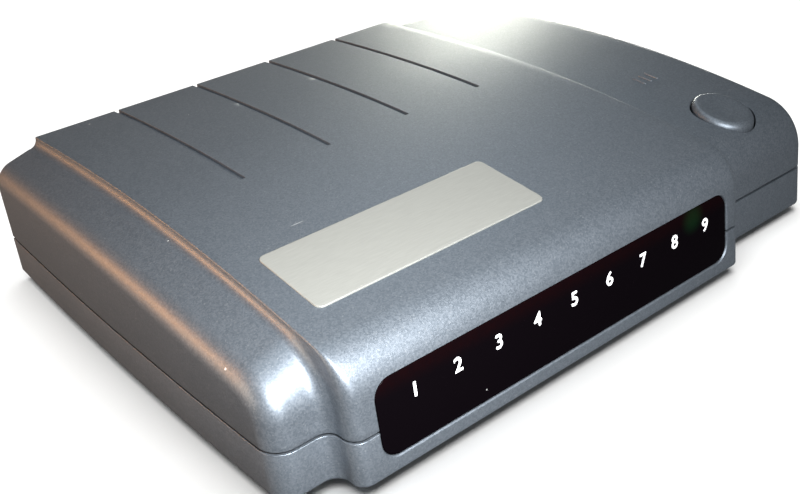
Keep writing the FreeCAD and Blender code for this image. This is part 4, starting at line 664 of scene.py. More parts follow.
def window_cutters():
    """Flared recess for the window and the opening behind it."""
    trim = trim_sizes()
    gap, flare = trim.window_gap, trim.window_flare
    levels = ((gap, -trim.window_sink - trim.window_sheet), (gap, -flare), (gap + flare, 0),
              (gap + 2 * flare, flare))
    recess = loft("window_recess", [on_face(window_outline(grow), out) for grow, out in levels])
    rim = window_outline(-trim.window_rim)
    deep = case_sizes().wall * OPENING_WALLS
    return [recess, loft("window_opening", [on_face(rim, -deep), on_face(rim, -trim.window_sink)])]


def groove_cutters():
    """Grooves that run with the lobe's crown to the rear edge, each with a small flare."""
    sizes = case_sizes()
    form = Form(sizes)
    half, flare = sizes.groove_width / 2, GROOVE_FLARE
    places = [mix(sizes.groove_start, sizes.rear + GROOVE_OVERRUN, share) for share in spread(GROOVE_STEPS)]
    cutters = []
    for number in row(GROOVE_COUNT):
        middle = sizes.groove_middle + sizes.groove_pitch * number
        rings = []
        for y in places:
            top = form.roof(y, form.top)
            low = top - sizes.groove_sink
            sides = ((half - flare, low), (half, low + flare), (half, top - flare), (half + flare, top),
                     (half + 3 * flare, top + 2 * flare))
            ring = [Vector((middle + x, y, z)) for x, z in sides]
            rings.append(ring + [Vector((2 * middle - point.x, y, point.z)) for point in reversed(ring)])
        cutters.append(loft("groove", rings))
    return cutters


def button_outline(grow):
    """Oval of the power button, grown all round."""
    trim = trim_sizes()
    return oval(trim.button_x, trim.button_y, trim.button_width / 2 + grow, trim.button_length / 2 + grow)


def button_well():
    """Oval well for the button, with a flare that follows the wing's top."""
    trim, form = trim_sizes(), Form(case_sizes())
    gap, flare = trim.button_gap, WELL_FLARE
    rings = [level(button_outline(gap), trim.well_reach)]
    for grow, lift in ((0, -flare), (flare, 0), (3 * flare, 2 * flare)):
        rings.append(form.drape(button_outline(gap + grow), form.wing_top, lift))
    return loft("button_well", rings)


def screw_places():
    """Plan places of the case screws."""
    sizes = case_sizes()
    return [(side * sizes.screw_side, y) for side in (-1, 1) for y in (sizes.screw_front, sizes.screw_rear)]


def floor_cutters():
    """Screw recesses, speaker slots and the open rear of the lower case."""
    sizes = case_sizes()
    ground, floor, well, flare = sizes.ground, sizes.ground + sizes.wall, sizes.screw_well, FLOOR_FLARE
    levels = ((well + 2 * flare, ground - flare), (well + flare, ground), (well, ground + flare),
              (well, ground + sizes.screw_sink))
    cutters = [turned("round_hole", x, y, levels, SCREW_STEPS) for x, y in screw_places()]
    half = sizes.slot_width / 2
    for number in row(SLOT_COUNT):
        x = sizes.slot_x + sizes.slot_pitch * number
        outline = rounded_outline(x, sizes.slot_y, half, sizes.slot_length / 2, half * SLOT_END, BAR_STEPS)
        cutters.append(loft("speaker_slot", [level(outline, z) for z in (ground - flare, floor + flare)]))
    side = sizes.width / 2 - sizes.side_bow - sizes.wall - sizes.lip_gap + REAR_SIDE_CUT
    front, rear = sizes.rear - REAR_DEPTH, sizes.rear + REAR_DEPTH
    corners = ((-side, front), (side, front), (side, rear), (-side, rear))
    cutters.append(loft("open_rear", [level(corners, z) for z in (floor, floor + REAR_HEIGHT)]))
    return cutters


# Finishes

class Tree:
    """Short way to add and link shader nodes."""

    def __init__(self, tree):
        self.tree = tree

    def add(self, kind, **settings):
        """New node with its settings."""
        made = self.tree.nodes.new("ShaderNode" + kind)
        for key, value in settings.items():
            setattr(made, key, value)
        return made

    def feed(self, socket, value):
        """Link a socket to another, or give it a number or colour of its own."""
        if isinstance(value, bpy.types.NodeSocket):
            self.tree.links.new(value, socket)
        elif isinstance(value, (int, float)):
            socket.default_value = value
        else:
            socket.default_value = (*value, 1.0)

    def fill(self, node, **values):
        """Feed a node's sockets by their names, with spaces written as underlines."""
        for label, value in values.items():
            self.feed(node.inputs[label.replace("_", " ")], value)
        return node

    def math(self, operation, *values):
        """Result of a sum on numbers and sockets."""
        made = self.add("Math", operation=operation)
        for socket, value in zip(made.inputs, values):
            self.feed(socket, value)
        return made.outputs[0]

    def times(self, first, second):
        """Product of two values."""
        return self.math("MULTIPLY", first, second)

    def span(self, value, start, change):
        """Start plus a change that follows a value."""
        return self.math("ADD", self.times(value, change), start)

    def blend(self, share, first, second):
        """Colour between two others."""
        made = self.add("Mix", data_type="RGBA")
        # A colour mix takes its share at socket 0 and its two colours at 6 and 7
        for number, value in ((0, share), (6, first), (7, second)):
            self.feed(made.inputs[number], value)
        return made.outputs[2]

    def ramp(self, value, low, high):
        """Soft step from 0 to 1."""
        made = self.add("MapRange", interpolation_type="SMOOTHSTEP")
        return self.fill(made, Value=value, From_Min=low, From_Max=high).outputs[0]

    def place(self):
        """Place on the object."""
        return self.add("TexCoord").outputs["Object"]

    def noise(self, vector, scale, detail):
        """Smooth random value."""
        made = self.add("TexNoise")
        return self.fill(made, Vector=vector, Scale=scale, Detail=detail).outputs[0]

    def cells(self, vector, scale):
        """Distance from the middle of random cells, and three random values for each cell."""
        made = self.fill(self.add("TexVoronoi", feature="F1"), Vector=vector, Scale=scale)
        values = self.add("SeparateColor")
        self.feed(values.inputs[0], made.outputs["Color"])
        return made.outputs["Distance"], values.outputs

    def group(self, tree, **values):
        """Outputs of a node group that is placed with its own values."""
        return self.fill(self.add("Group", node_tree=tree), **values).outputs

    def bump(self, shader, height, strength, distance):
        """Feed a height to the shader's normal."""
        made = self.fill(self.add("Bump"), Strength=strength, Distance=distance, Height=height)
        self.feed(shader.inputs["Normal"], made.outputs[0])


def shared_group(name, inputs, outputs, draw):
    """Shader node group with its sockets, drawn at its first use."""
    if name in bpy.data.node_groups:
        return bpy.data.node_groups[name]
    tree = bpy.data.node_groups.new(name, "ShaderNodeTree")
    for label, default in inputs.items():
        socket = tree.interface.new_socket(label, in_out="INPUT", socket_type="NodeSocketFloat")
        socket.default_value = default
    for label in outputs:
        tree.interface.new_socket(label, in_out="OUTPUT", socket_type="NodeSocketFloat")
    entry, leave = tree.nodes.new("NodeGroupInput"), tree.nodes.new("NodeGroupOutput")
    draw(Tree(tree), entry.outputs, leave.inputs)
    return tree


def flake_group():
    """Fine metallic flakes: how light each cell is, a few bright ones, and a shallow height."""
    spark_from, spark_full = 0.955, 0.99

    def draw(net, entry, leave):
        cell = net.cells(net.place(), entry["Scale"])[1]
        net.feed(leave["Tone"], cell[0])
        net.feed(leave["Spark"], net.ramp(cell[1], spark_from, spark_full))
        net.feed(leave["Height"], cell[2])

    return shared_group("fine_flake", {"Scale": 4200.0}, ("Tone", "Spark", "Height"), draw)


def dust_group():
    """Dust specks and fine scratches as masks."""
    speck_size, speck_rarity = 0.055, 0.72
    scratch_width, scratch_rarity = 0.045, 0.9

    def draw(net, entry, leave):
        distance, pick = net.cells(net.place(), entry["Specks"])
        near = net.math("LESS_THAN", distance, net.times(pick[1], speck_size))
        chosen = net.math("GREATER_THAN", pick[0], speck_rarity)
        net.feed(leave["Dust"], net.times(near, chosen))
        stretch = net.fill(net.add("Mapping"), Vector=net.place())
        stretch.inputs["Rotation"].default_value = (0.3, 0.2, 0.7)
        stretch.inputs["Scale"].default_value = (28.0, 420.0, 420.0)
        distance, pick = net.cells(stretch.outputs[0], 1.0)
        thin = net.math("LESS_THAN", distance, scratch_width)
        rare = net.math("GREATER_THAN", pick[0], scratch_rarity)
        net.feed(leave["Scratch"], net.times(thin, rare))

    return shared_group("dust_and_scratches", {"Specks": 210.0}, ("Dust", "Scratch"), draw)


def grain_group():
    """Fine moulded or brushed grain: a height and a broad variation."""
    def draw(net, entry, leave):
        stretch = net.fill(net.add("CombineXYZ"), X=entry["Stretch"], Y=1.0, Z=1.0)
        scaled = net.add("VectorMath", operation="MULTIPLY")
        net.feed(scaled.inputs[0], net.place())
        net.feed(scaled.inputs[1], stretch.outputs[0])
        net.feed(leave["Height"], net.noise(scaled.outputs[0], scale=entry["Scale"], detail=2.0))
        net.feed(leave["Broad"], net.noise(net.place(), scale=38.0, detail=3.0))

    return shared_group("moulded_grain", {"Scale": 1500.0, "Stretch": 1.0}, ("Height", "Broad"), draw)


def new_finish(name):
    """Material with an empty node tree but for its shader and output."""
    finish = bpy.data.materials.new(name)
    finish.use_nodes = True
    return finish, Tree(finish.node_tree), finish.node_tree.nodes["Principled BSDF"]


def shade(tint, factor):
    """Darker or lighter shade of a tint."""
    return tuple(min(1.0, channel * factor) for channel in tint)


def case_finish():
    """Satin slate plastic with metallic flakes, dust specks and a few scratches."""
    if "satin_slate" in bpy.data.materials:
        return bpy.data.materials["satin_slate"]
    finish, net, shader = new_finish("satin_slate")
    tint = colours()
    flake_share, spark_share, scratch_share, mark_share = 0.3, 0.1, 0.6, 0.85
    flake = net.group(flake_group(), Scale=3400.0)
    dust = net.group(dust_group(), Specks=210.0)
    base = net.blend(net.times(flake["Tone"], flake_share), tint.case, tint.flake)
    base = net.blend(net.times(flake["Spark"], spark_share), base, tint.dust)
    marks = net.math("MAXIMUM", dust["Dust"], net.times(dust["Scratch"], scratch_share))
    rough = net.span(net.noise(net.place(), scale=30.0, detail=4.0), start=0.42, change=0.08)
    net.fill(shader, Base_Color=net.blend(net.times(marks, mark_share), base, tint.dust),
             Roughness=net.span(flake["Tone"], start=rough, change=0.06),
             Metallic=net.span(marks, start=0.78, change=-0.6))
    net.bump(shader, flake["Height"], strength=0.25, distance=0.02 * MM)
    return finish


def plain_values(name):
    """Tint of a plain finish and what else departs from the usual."""
    tint = colours()
    return {
        "number_ink": dict(tint=tint.number, change=0.04),
        "satin_panel": dict(tint=shade(tint.case, 0.8), rough=0.46, metallic=0.3, grain=2400.0),
        "moulded_black": dict(tint=tint.black, rough=0.42, grain=2200.0),
        "bright_plate": dict(tint=tint.steel, rough=0.28, metallic=1.0, grain=1800.0, stretch=0.08,
                             relief=0.12, change=0.08),
        "dull_zinc": dict(tint=shade(tint.steel, 0.9), rough=0.34, metallic=1.0, grain=1800.0,
                          relief=0.12, change=0.12),
        "blue_insulator": dict(tint=(0.012, 0.02, 0.07), rough=0.4),
        "gilt_contact": dict(tint=tint.gold, rough=0.25, metallic=1.0, relief=0.05, change=0.1),
        "soft_rubber": dict(tint=tint.rubber, rough=0.75, grain=2600.0, relief=0.4),
        "grey_ferrite": dict(tint=(0.05, 0.05, 0.052), rough=0.6),
        "matt_epoxy": dict(tint=(0.02, 0.02, 0.022), rough=0.55),
        "shrunk_sleeve": dict(tint=(0.015, 0.02, 0.06), rough=0.3),
        "moulded_white": dict(tint=(0.7, 0.68, 0.62)),
        "green_resist": dict(tint=tint.board, rough=0.35, grain=500.0),
        "pressed_paper": dict(tint=(0.045, 0.04, 0.036), rough=0.9, grain=900.0, relief=0.6),
        "amber_tape": dict(tint=(0.55, 0.36, 0.04), rough=0.25),
        "amber_relay": dict(tint=(0.7, 0.3, 0.05), rough=0.35),
        "dipped_blue": dict(tint=(0.05, 0.1, 0.36), rough=0.3),
        "dark_anodised": dict(tint=(0.1, 0.1, 0.105), rough=0.45, metallic=0.8, stretch=0.1),
        "green_lens": dict(tint=(0.1, 0.4, 0.1), rough=0.15, relief=0.03),
        "floor_paper": dict(tint=(0.9, 0.9, 0.89), rough=0.8, change=0.02),
    }[name]


def plain_finish(name):
    """Moulded, rubber or metal finish, made at its first use."""
    if name not in bpy.data.materials:
        grained_finish(name, **plain_values(name))
    return bpy.data.materials[name]


def grained_finish(name, tint, rough=0.5, metallic=0.0, grain=1500.0, stretch=1.0, relief=0.2, change=0.25):
    """Finish with fine grain and a broad change of tone."""
    net, shader = new_finish(name)[1:]
    rough_change = 0.16
    texture = net.group(grain_group(), Scale=grain, Stretch=stretch)
    net.fill(shader, Base_Color=net.blend(texture["Broad"], shade(tint, 1 - change), shade(tint, 1 + change)),
             Roughness=net.span(texture["Height"], start=rough - rough_change / 2, change=rough_change),
             Metallic=metallic)
    net.bump(shader, texture["Height"], strength=relief, distance=0.03 * MM)


def window_finish():
    """Glossy smoked plastic, tinted along the top, with a painted glow where the last lamp shines through."""
    finish, net, shader = new_finish("smoked_gloss")
    tint, trim = colours(), trim_sizes()
    spot = net.add("SeparateXYZ")
    net.feed(spot.inputs[0], net.place())
    x, height = spot.outputs[0], spot.outputs[2]
    low = case_sizes().ground + trim.window_low
    band_from, band_full, lamp_high = (low + trim.window_height * share for share in (0.72, 0.95, 0.86))
    lit_place = 3.6
    lamp_across = trim.lamp_middle + trim.lamp_pitch * lit_place
    glow_reach, glow_full = 4.2 * MM, 0.6 * MM
    streak = net.span(net.noise(net.place(), scale=900.0, detail=2.0), start=0.3, change=0.8)
    band = net.times(net.ramp(height, band_from, band_full), streak)
    dust = net.group(dust_group(), Specks=260.0)
    base = net.blend(band, tint.window, tint.window_band)
    across = net.math("SUBTRACT", x, lamp_across)
    up = net.math("SUBTRACT", height, lamp_high)
    distance = net.math("SQRT", net.math("ADD", net.times(across, across), net.times(up, up)))
    # Painted glow: the window sheet itself emits a faint green light round the spot where the lit lamp sits
    # behind it
    painted_glow = net.ramp(distance, glow_reach, glow_full)
    dust_share = 0.5
    net.fill(shader, Base_Color=net.blend(net.times(dust["Dust"], dust_share), base, tint.dust),
             Roughness=net.span(dust["Dust"], start=0.06, change=0.4), Specular_IOR_Level=0.01,
             Emission_Color=net.blend(painted_glow, (0.0, 0.0, 0.0), tint.lamp_glow), Emission_Strength=0.12)
    waves = net.noise(net.place(), scale=120.0, detail=2.0)
    net.bump(shader, waves, strength=0.02, distance=0.05 * MM)
    return finish


def label_finish():
    """Warm silver plate with a faint brushed grain."""
    finish, net, shader = new_finish("brushed_silver")
    bare_metal, scratch_share = (0.8, 0.8, 0.78), 0.25
    grain = net.group(grain_group(), Scale=2600.0, Stretch=0.12)
    scratch = net.times(net.group(dust_group(), Specks=160.0)["Scratch"], scratch_share)
    tint = colours().label
    base = net.blend(grain["Height"], shade(tint, 0.93), shade(tint, 1.12))
    net.fill(shader, Base_Color=net.blend(scratch, base, bare_metal),
             Roughness=net.span(grain["Broad"], start=0.4, change=0.12), Metallic=0.25)
    net.bump(shader, grain["Height"], strength=0.08, distance=0.02 * MM)
    return finish


# Pieces

LABEL_EDGE_STEPS = 3
LABEL_FACE = (0.3, 0.6, 0.95)
BUTTON_EDGE_STEPS = 7
BUTTON_FACE = (0.15, 0.35, 0.55, 0.75, 0.92)
MARK_COUNT = 3
MARK_ROOT = 0.3 * MM
MARK_EDGE = 0.25 * MM
MARK_END = 0.96
SHEET_EDGE = 0.25 * MM
SHEET_EDGE_STEPS = 4
INK = 0.01 * MM
INK_LIFT = 0.03 * MM
INK_LAYER = 0.004 * MM
REFINED_WELD = 2e-3 * MM
FLAT_ANGLE = math.radians(1)
SHARP_ANGLE = math.radians(40)
PANEL_EDGE = 0.12 * MM
PANEL_STEP_REACH = 1.0 * MM
FOOT_RADIUS = 5.0 * MM
FOOT_STEPS = 48
FOOT_HOLLOW = ((0.62, 0.0), (0.55, 0.25 * MM), (0.1, 0.3 * MM))
TURNED_EDGE = 0.7 * MM
TURNED_EDGE_STEPS = 5
SCREW_HEAD = 2.8 * MM
SCREW_RISE = 1.8 * MM
SCREW_SHANK = 1.4 * MM
CROSS_HALF = 0.35 * MM
CROSS_REACH = 1.5 * MM
CROSS_DEPTH = 0.9 * MM


def label_mesh():
    """Thin plate with round corners and a rounded edge, bent to the lobe's crown."""
    trim, form = trim_sizes(), Form(case_sizes())
    levels = [(0.0, 0.0)]
    levels += [(inset, trim.label_sheet - drop) for inset, drop in quarter(trim.label_edge, LABEL_EDGE_STEPS)]
    levels += [(trim.label_corner * share, trim.label_sheet) for share in LABEL_FACE]
    rings = []
    for inset, lift in levels:
        outline = rounded_outline(trim.label_middle, trim.label_y, trim.label_width / 2 - inset,
                                  trim.label_depth / 2 - inset, trim.label_corner - inset)
        rings.append(form.drape(outline, form.top, trim.label_glue + lift))
    return loft("label_plate", rings)


def button_mesh():
    """Oval cap with a sloping, slightly hollow top and a rounded rim."""
    trim, form = trim_sizes(), Form(case_sizes())
    top = form.roof(trim.button_y, form.wing_top) + trim.button_rise
    reach = trim.button_width / 2 - trim.button_round
    levels = quarter(trim.button_round, BUTTON_EDGE_STEPS)
    for share in BUTTON_FACE:
        dish = trim.button_dish * math.sin(math.pi / 2 * share)
        levels.append((trim.button_round + reach * share, dish))
    rings = [level(button_outline(0), trim.button_low)]
    for inset, drop in levels:
        rings.append([Vector((x, y, top + trim.button_slope * (y - trim.button_y) - drop))
                      for x, y in button_outline(-inset)])
    return loft("button_cap", rings)


def finger_mark_mesh():
    """Small raised bars on the wing behind the button."""
    trim, form = trim_sizes(), Form(case_sizes())
    levels = [(0.0, -MARK_ROOT)]
    levels += [(inset, trim.mark_rise - drop) for inset, drop in quarter(MARK_EDGE, SHEET_EDGE_STEPS)]
    bars = []
    for number in row(MARK_COUNT):
        middle = trim.button_x + trim.mark_pitch * number
        rings = []
        for inset, lift in levels:
            half = trim.mark_width / 2 - inset
            outline = rounded_outline(middle, trim.mark_y, half, trim.mark_length / 2 - inset,
                                      half * MARK_END, BAR_STEPS)
            rings.append(form.drape(outline, form.wing_top, lift))
        bars.append(loft("finger_mark", rings))
    return join("finger_marks", bars)


def number_mesh(number):
    """One printed number on the window, thickened by shifted copies in thin layers."""
    trim = trim_sizes()
    text = bpy.data.curves.new("number_text", "FONT")
    text.body = str(number)
    text.align_x, text.align_y = "CENTER", "CENTER"
    text.size = trim.number_size
    text.extrude = INK
    holder = add_object("number_text", text)
    thin = final_mesh(holder)
    bpy.data.objects.remove(holder)
    bpy.data.curves.remove(text)
    across = trim.lamp_middle + trim.lamp_pitch * row(LAMP_COUNT)[number - 1]
    bold, strokes = trim.number_bold, []
    for layer, (right, up) in enumerate(((0, 0), (bold, 0), (-bold, 0), (0, bold), (0, -bold))):
        stroke = thin.copy()
        lift = INK_LIFT + INK_LAYER * layer - trim.window_sink
        stroke.transform(face_frame() @ Matrix.Translation((across + right, trim.number_row + up, lift)))
        strokes.append(stroke)
    bpy.data.meshes.remove(thin)
    return join("lamp_number", strokes)


def window_mesh():
    """Sheet with round corners and a softened front edge."""
    trim = trim_sizes()
    levels = [(0.0, -trim.window_sink - trim.window_sheet)]
    levels += [(inset, -trim.window_sink - drop) for inset, drop in quarter(SHEET_EDGE, SHEET_EDGE_STEPS)]
    return loft("window_sheet", [on_face(window_outline(-inset), out) for inset, out in levels])


def refined(node, width):
    """CAD node's mesh, welded and with its sharp edges softened."""
    shape = bmesh.new()
    shape.from_mesh(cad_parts[node].data)
    bmesh.ops.remove_doubles(shape, verts=shape.verts, dist=REFINED_WELD)
    bmesh.ops.dissolve_limit(shape, angle_limit=FLAT_ANGLE, verts=shape.verts, edges=shape.edges)
    sharp = [edge for edge in shape.edges
             if len(edge.link_faces) == 2 and edge.calc_face_angle(0) > SHARP_ANGLE]
    if width:
        bmesh.ops.bevel(shape, geom=sharp, offset=width, segments=2, profile=0.6, affect="EDGES",
                        clamp_overlap=True)
    bmesh.ops.recalc_face_normals(shape, faces=shape.faces)
    return finished_mesh(node + "_softened", shape)


def panel_mesh():
    """Rear panel with the left step of its top leaning with the cover's inner flank."""
    sizes = case_sizes()
    mesh = refined("rear_panel", PANEL_EDGE)
    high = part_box("rear_panel")[1].z
    step = sizes.lobe_left + sizes.wall
    for vertex in mesh.vertices:
        drop = high - vertex.co.z
        if abs(vertex.co.x - step) < PANEL_STEP_REACH and drop < 2 * sizes.wing_drop:
            vertex.co.x -= drop
    return smoothed(mesh)


def foot_mesh():
    """Four round rubber feet with a rounded rim and a shallow hollow underneath."""
    low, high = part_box("rubber_feet")
    radius = FOOT_RADIUS
    levels = [(radius, high.z)]
    levels += [(radius - inset, low.z + drop) for inset, drop in quarter(TURNED_EDGE, TURNED_EDGE_STEPS)]
    levels += [(radius * share, low.z + rise) for share, rise in FOOT_HOLLOW]
    places = [(x, y) for x in (low.x + radius, high.x - radius) for y in (low.y + radius, high.y - radius)]
    return join("rubber_feet_round", [turned("foot", x, y, levels, FOOT_STEPS) for x, y in places])


def screw_mesh():
    """Four case screws with rounded heads and cross recesses."""
    low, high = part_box("case_screws")
    shelf = low.z + SCREW_RISE
    levels = [(SCREW_SHANK, high.z), (SCREW_SHANK, shelf), (SCREW_HEAD, shelf)]
    levels += [(SCREW_HEAD - inset, low.z + drop) for inset, drop in quarter(TURNED_EDGE, TURNED_EDGE_STEPS)]
    screws = []
    for x, y in screw_places():
        arms = []
        for width, reach in ((CROSS_HALF, CROSS_REACH), (CROSS_REACH, CROSS_HALF)):
            corners = ((x - width, y - reach), (x + width, y - reach), (x + width, y + reach),
                       (x - width, y + reach))
            heights = (low.z - SCREW_RISE, low.z + CROSS_DEPTH)
            arms.append(loft("arm", [level(corners, z) for z in heights]))
        screws.append(carve(turned("screw", x, y, levels, SCREW_STEPS), arms))
    return join("case_screws_cross", screws)


# Rear and inner CAD nodes: what is softened, and what only gets a finish

SOFTENED = (
    ("line_jack", 0.2 * MM, "black_plastic", "moulded_black"),
    ("phone_jack", 0.2 * MM, "black_plastic", "moulded_black"),
    ("power_inlet", 0.2 * MM, "black_plastic", "moulded_black"),
    ("serial_connector_shell", 0.12 * MM, "plated_steel", "bright_plate"),
    ("serial_connector_insulator", 0.0, "insulator_plastic", "blue_insulator"),
    ("serial_jackscrews", 0.15 * MM, "zinc_steel", "dull_zinc"),
)
REAR_FINISHES = {
    "gilt_contact": ("serial_connector_contacts", "line_jack_contacts", "phone_jack_contacts"),
    "bright_plate": ("power_inlet_pin",),
}
INNER_FINISHES = {
    "moulded_black": ("power_switch_housing", "lamp_holder", "transformer_bobbin", "voltage_regulator"),
    "bright_plate": ("speaker_frame", "crystal_can"),
    "dull_zinc": ("board_screws",),
    "moulded_white": ("power_switch_plunger",),
    "green_resist": ("circuit_board",),
    "pressed_paper": ("speaker_cone",),
    "grey_ferrite": ("speaker_magnet", "transformer_core"),
    "amber_tape": ("transformer_winding",),
    "amber_relay": ("hook_relay",),
    "dipped_blue": ("surge_suppressor",),
    "dark_anodised": ("heat_sink",),
    "matt_epoxy": ("signal_chip", "control_chip", "memory_chip", "driver_chip", "receiver_chip"),
    "shrunk_sleeve": ("capacitor_1", "capacitor_2", "capacitor_3"),
    "green_lens": [f"indicator_lamp_{number}" for number in range(1, LAMP_COUNT + 1)],
}


class ModemOperator:
    """What the building operators share."""

    bl_options = {"REGISTER", "UNDO"}


class MODEM_OT_top_cover(ModemOperator, bpy.types.Operator):
    """Cover with its lobe, grooves, window recess, button well and finger marks"""

    bl_idname = "modem.top_cover"
    bl_label = "Top Cover"

    def execute(self, context):
        mesh = carve(cover_mesh(), window_cutters() + groove_cutters() + [button_well()])
        piece("cover_moulding", mesh, CASE_BODY, "case_plastic", case_finish(), "top_cover")
        piece("finger_marks", finger_mark_mesh(), CASE_BODY, "case_plastic", case_finish())
        return {"FINISHED"}


class MODEM_OT_bottom_case(ModemOperator, bpy.types.Operator):
    """Lower case with its lip, window recess, screw wells and speaker slots"""

    bl_idname = "modem.bottom_case"
    bl_label = "Bottom Case"

    def execute(self, context):
        mesh = carve(tray_mesh(), window_cutters() + floor_cutters())
        piece("case_moulding", mesh, CASE_BODY, "case_plastic", case_finish(), "bottom_case")
        return {"FINISHED"}


class MODEM_OT_window(ModemOperator, bpy.types.Operator):
    """Smoked window with a plain number for each lamp"""

    bl_idname = "modem.window"
    bl_label = "Window"

    def execute(self, context):
        piece("window_sheet", window_mesh(), CASE_BODY, "smoked_window", window_finish(), "display_window")
        ink = plain_finish("number_ink")
        for number in range(1, LAMP_COUNT + 1):
            piece(f"lamp_number_{number}", number_mesh(number), CASE_BODY, "smoked_window", ink)
        return {"FINISHED"}


class MODEM_OT_label(ModemOperator, bpy.types.Operator):
    """Bare silver plate on the lobe"""

    bl_idname = "modem.label"
    bl_label = "Label Plate"

    def execute(self, context):
        piece("label_plate", label_mesh(), CASE_BODY, "silver_plate", label_finish(), "nameplate_label")
        return {"FINISHED"}


class MODEM_OT_button(ModemOperator, bpy.types.Operator):
    """Power button"""

    bl_idname = "modem.button"
    bl_label = "Power Button"

    def execute(self, context):
        piece("button_cap", button_mesh(), BUTTON_BODY, "case_plastic", case_finish(), "power_button")
        return {"FINISHED"}


class MODEM_OT_rear(ModemOperator, bpy.types.Operator):
    """Rear panel, sockets and connectors"""

    bl_idname = "modem.rear"
    bl_label = "Rear Panel and Sockets"

    def execute(self, context):
        panel = plain_finish("satin_panel")
        piece("rear_panel_finished", panel_mesh(), CASE_BODY, "panel_plastic", panel, "rear_panel")
        for node, width, slot, finish in SOFTENED:
            piece(node + "_finished", refined(node, width), CASE_BODY, slot, plain_finish(finish), node)
        dress(REAR_FINISHES)
        return {"FINISHED"}


class MODEM_OT_feet(ModemOperator, bpy.types.Operator):
    """Rubber feet and case screws"""

    bl_idname = "modem.feet"
    bl_label = "Feet and Screws"

    def execute(self, context):
        rubber, zinc = plain_finish("soft_rubber"), plain_finish("dull_zinc")
        piece("feet_round", foot_mesh(), CASE_BODY, "foot_rubber", rubber, "rubber_feet")
        piece("case_screws_cross", screw_mesh(), CASE_BODY, "zinc_steel", zinc, "case_screws")
        return {"FINISHED"}


class MODEM_OT_inside(ModemOperator, bpy.types.Operator):
    """Finishes of the board and its components"""

    bl_idname = "modem.inside"
    bl_label = "Inner Parts"

    def execute(self, context):
        dress(INNER_FINISHES)
        return {"FINISHED"}


# Stage

FLOOR_REACH = 3.0
SENSOR_WIDTH = 36.0
CLIP_NEAR, CLIP_FAR = 0.01, 20.0
ALL_ROUND = 180
FLASH_SPREAD = 82
MIDDLE = (0.0, 0.0, 0.02)
NOSE = (-0.06, -0.06, 0.02)
WHITE = (1.0, 1.0, 1.0)
# Name, strength setting, place, width and height, tint, aim and spread in degrees
LIGHTS = (
    ("softbox", "key", (0.0, 0.0, 0.9), (0.5, 0.5), (0.9, 0.98, 1.0), MIDDLE, ALL_ROUND),
    ("sheen", "sheen", (0.43, 0.43, 0.53), (0.26, 0.2), (0.9, 0.97, 1.0), MIDDLE, ALL_ROUND),
    ("camera_flash", "flash", (-0.09, -0.215, 0.155), (0.06, 0.05), WHITE, NOSE, FLASH_SPREAD),
    ("warm_side", "side", (-0.74, 0.22, 0.15), (0.26, 0.2), (1.0, 0.76, 0.54), MIDDLE, ALL_ROUND),
    ("warm_strip", "warm", (-0.58, 0.48, 0.2), (0.14, 0.12), (1.0, 0.4, 0.12), MIDDLE, ALL_ROUND),
    ("low_window", "glare", (0.547, 0.582, 0.076), (0.11, 0.14), (1.0, 0.98, 0.84), MIDDLE, ALL_ROUND),
    ("edge_glint", "glint", (0.63, 0.49, 0.045), (0.12, 0.04), (1.0, 0.98, 0.9), MIDDLE, ALL_ROUND),
)
FLOOR_LIGHTS = (("floor_wash", "wash", (0.0, 0.0, 1.2), (1.5, 1.5), WHITE, MIDDLE, ALL_ROUND),)


def area_light(name, strength, place, size, tint, aim, opening):
    """Rectangular light that points at a spot."""
    data = bpy.data.lights.new(name, "AREA")
    data.shape = "RECTANGLE"
    data.size, data.size_y = size
    data.energy = getattr(bpy.context.scene.modem_stage, strength)
    data.color = tint
    data.spread = math.radians(opening)
    light = add_object(name, data)
    light.location = place
    light.rotation_euler = (Vector(aim) - Vector(place)).to_track_quat("-Z", "Y").to_euler()
    return light


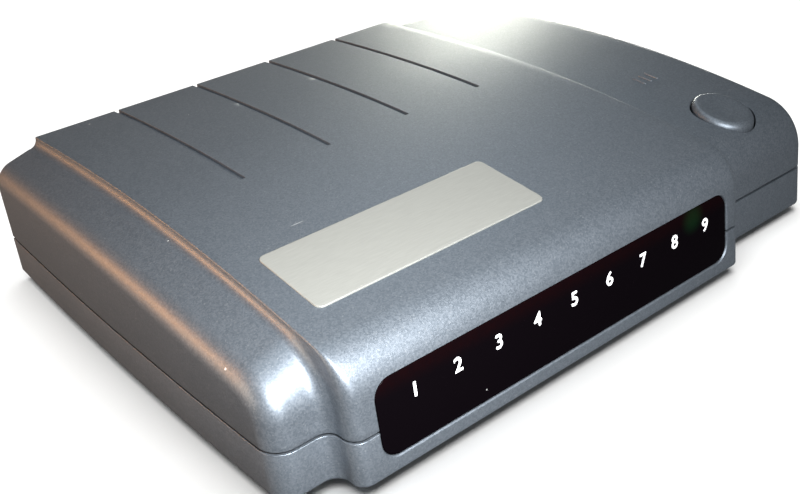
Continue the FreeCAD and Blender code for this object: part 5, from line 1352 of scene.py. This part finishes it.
class MODEM_OT_stage(ModemOperator, bpy.types.Operator):
    """Pale floor, soft studio light and the camera"""

    bl_idname = "modem.stage"
    bl_label = "Stage"

    def execute(self, context):
        scene = context.scene
        stage = scene.modem_stage
        reach = FLOOR_REACH
        corners = level(((-reach, -reach), (reach, -reach), (reach, reach), (-reach, reach)), 0)
        floor = add_object("pale_floor", mesh_from("pale_floor", corners, [(0, 1, 2, 3)]))
        floor.data.materials.append(plain_finish("floor_paper"))
        floor.visible_glossy = False
        world = bpy.data.worlds.new("white_surround")
        world.use_nodes = True
        surround = world.node_tree.nodes["Background"]
        surround.inputs["Color"].default_value = (*WHITE, 1.0)
        surround.inputs["Strength"].default_value = stage.world
        scene.world = world
        for state, lights in (("INCLUDE", FLOOR_LIGHTS), ("EXCLUDE", LIGHTS)):
            linked = bpy.data.collections.new("floor_" + state.lower())
            linked.objects.link(floor)
            linked.collection_objects[0].light_linking.link_state = state
            for values in lights:
                area_light(*values).light_linking.receiver_collection = linked
        data = bpy.data.cameras.new("photo_camera")
        data.sensor_width = SENSOR_WIDTH
        data.lens = stage.camera_lens
        data.clip_start, data.clip_end = CLIP_NEAR, CLIP_FAR
        camera = add_object("photo_camera", data)
        camera.location = stage.camera_place
        camera.rotation_euler = Euler(stage.camera_turn, "XYZ")
        scene.camera = camera
        scene.view_settings.view_transform = "Standard"
        return {"FINISHED"}


OPERATORS = (MODEM_OT_top_cover, MODEM_OT_bottom_case, MODEM_OT_window, MODEM_OT_label, MODEM_OT_button,
             MODEM_OT_rear, MODEM_OT_feet, MODEM_OT_inside, MODEM_OT_stage)


class MODEM_PT_sidebar(bpy.types.Panel):
    """Lists the building steps and their settings"""

    bl_idname = "MODEM_PT_sidebar"
    bl_label = "Modem"
    bl_space_type = "VIEW_3D"
    bl_region_type = "UI"
    bl_category = "Modem"

    def draw(self, context):
        for operator in OPERATORS:
            self.layout.operator(operator.bl_idname)
        for name, group in GROUPS.items():
            column = self.layout.box().column()
            for setting in group.__annotations__:
                column.prop(getattr(context.scene, name), setting)


GROUPS = {"modem_case": CaseSizes, "modem_trim": TrimSizes, "modem_colours": FinishColours,
          "modem_stage": StageSettings}
CLASSES = (*GROUPS.values(), *OPERATORS, MODEM_PT_sidebar)


def register():
    """Add the classes and the scene's settings."""
    for item in CLASSES:
        bpy.utils.register_class(item)
    for name, group in GROUPS.items():
        setattr(bpy.types.Scene, name, PointerProperty(type=group))


def unregister():
    """Take the settings and the classes away again."""
    for name in GROUPS:
        delattr(bpy.types.Scene, name)
    for item in reversed(CLASSES):
        bpy.utils.unregister_class(item)


def main():
    """Build every piece and the stage."""
    register()
    for operator in OPERATORS:
        group, name = operator.bl_idname.split(".")
        getattr(getattr(bpy.ops, group), name)()


if __name__ == "__main__":
    main()
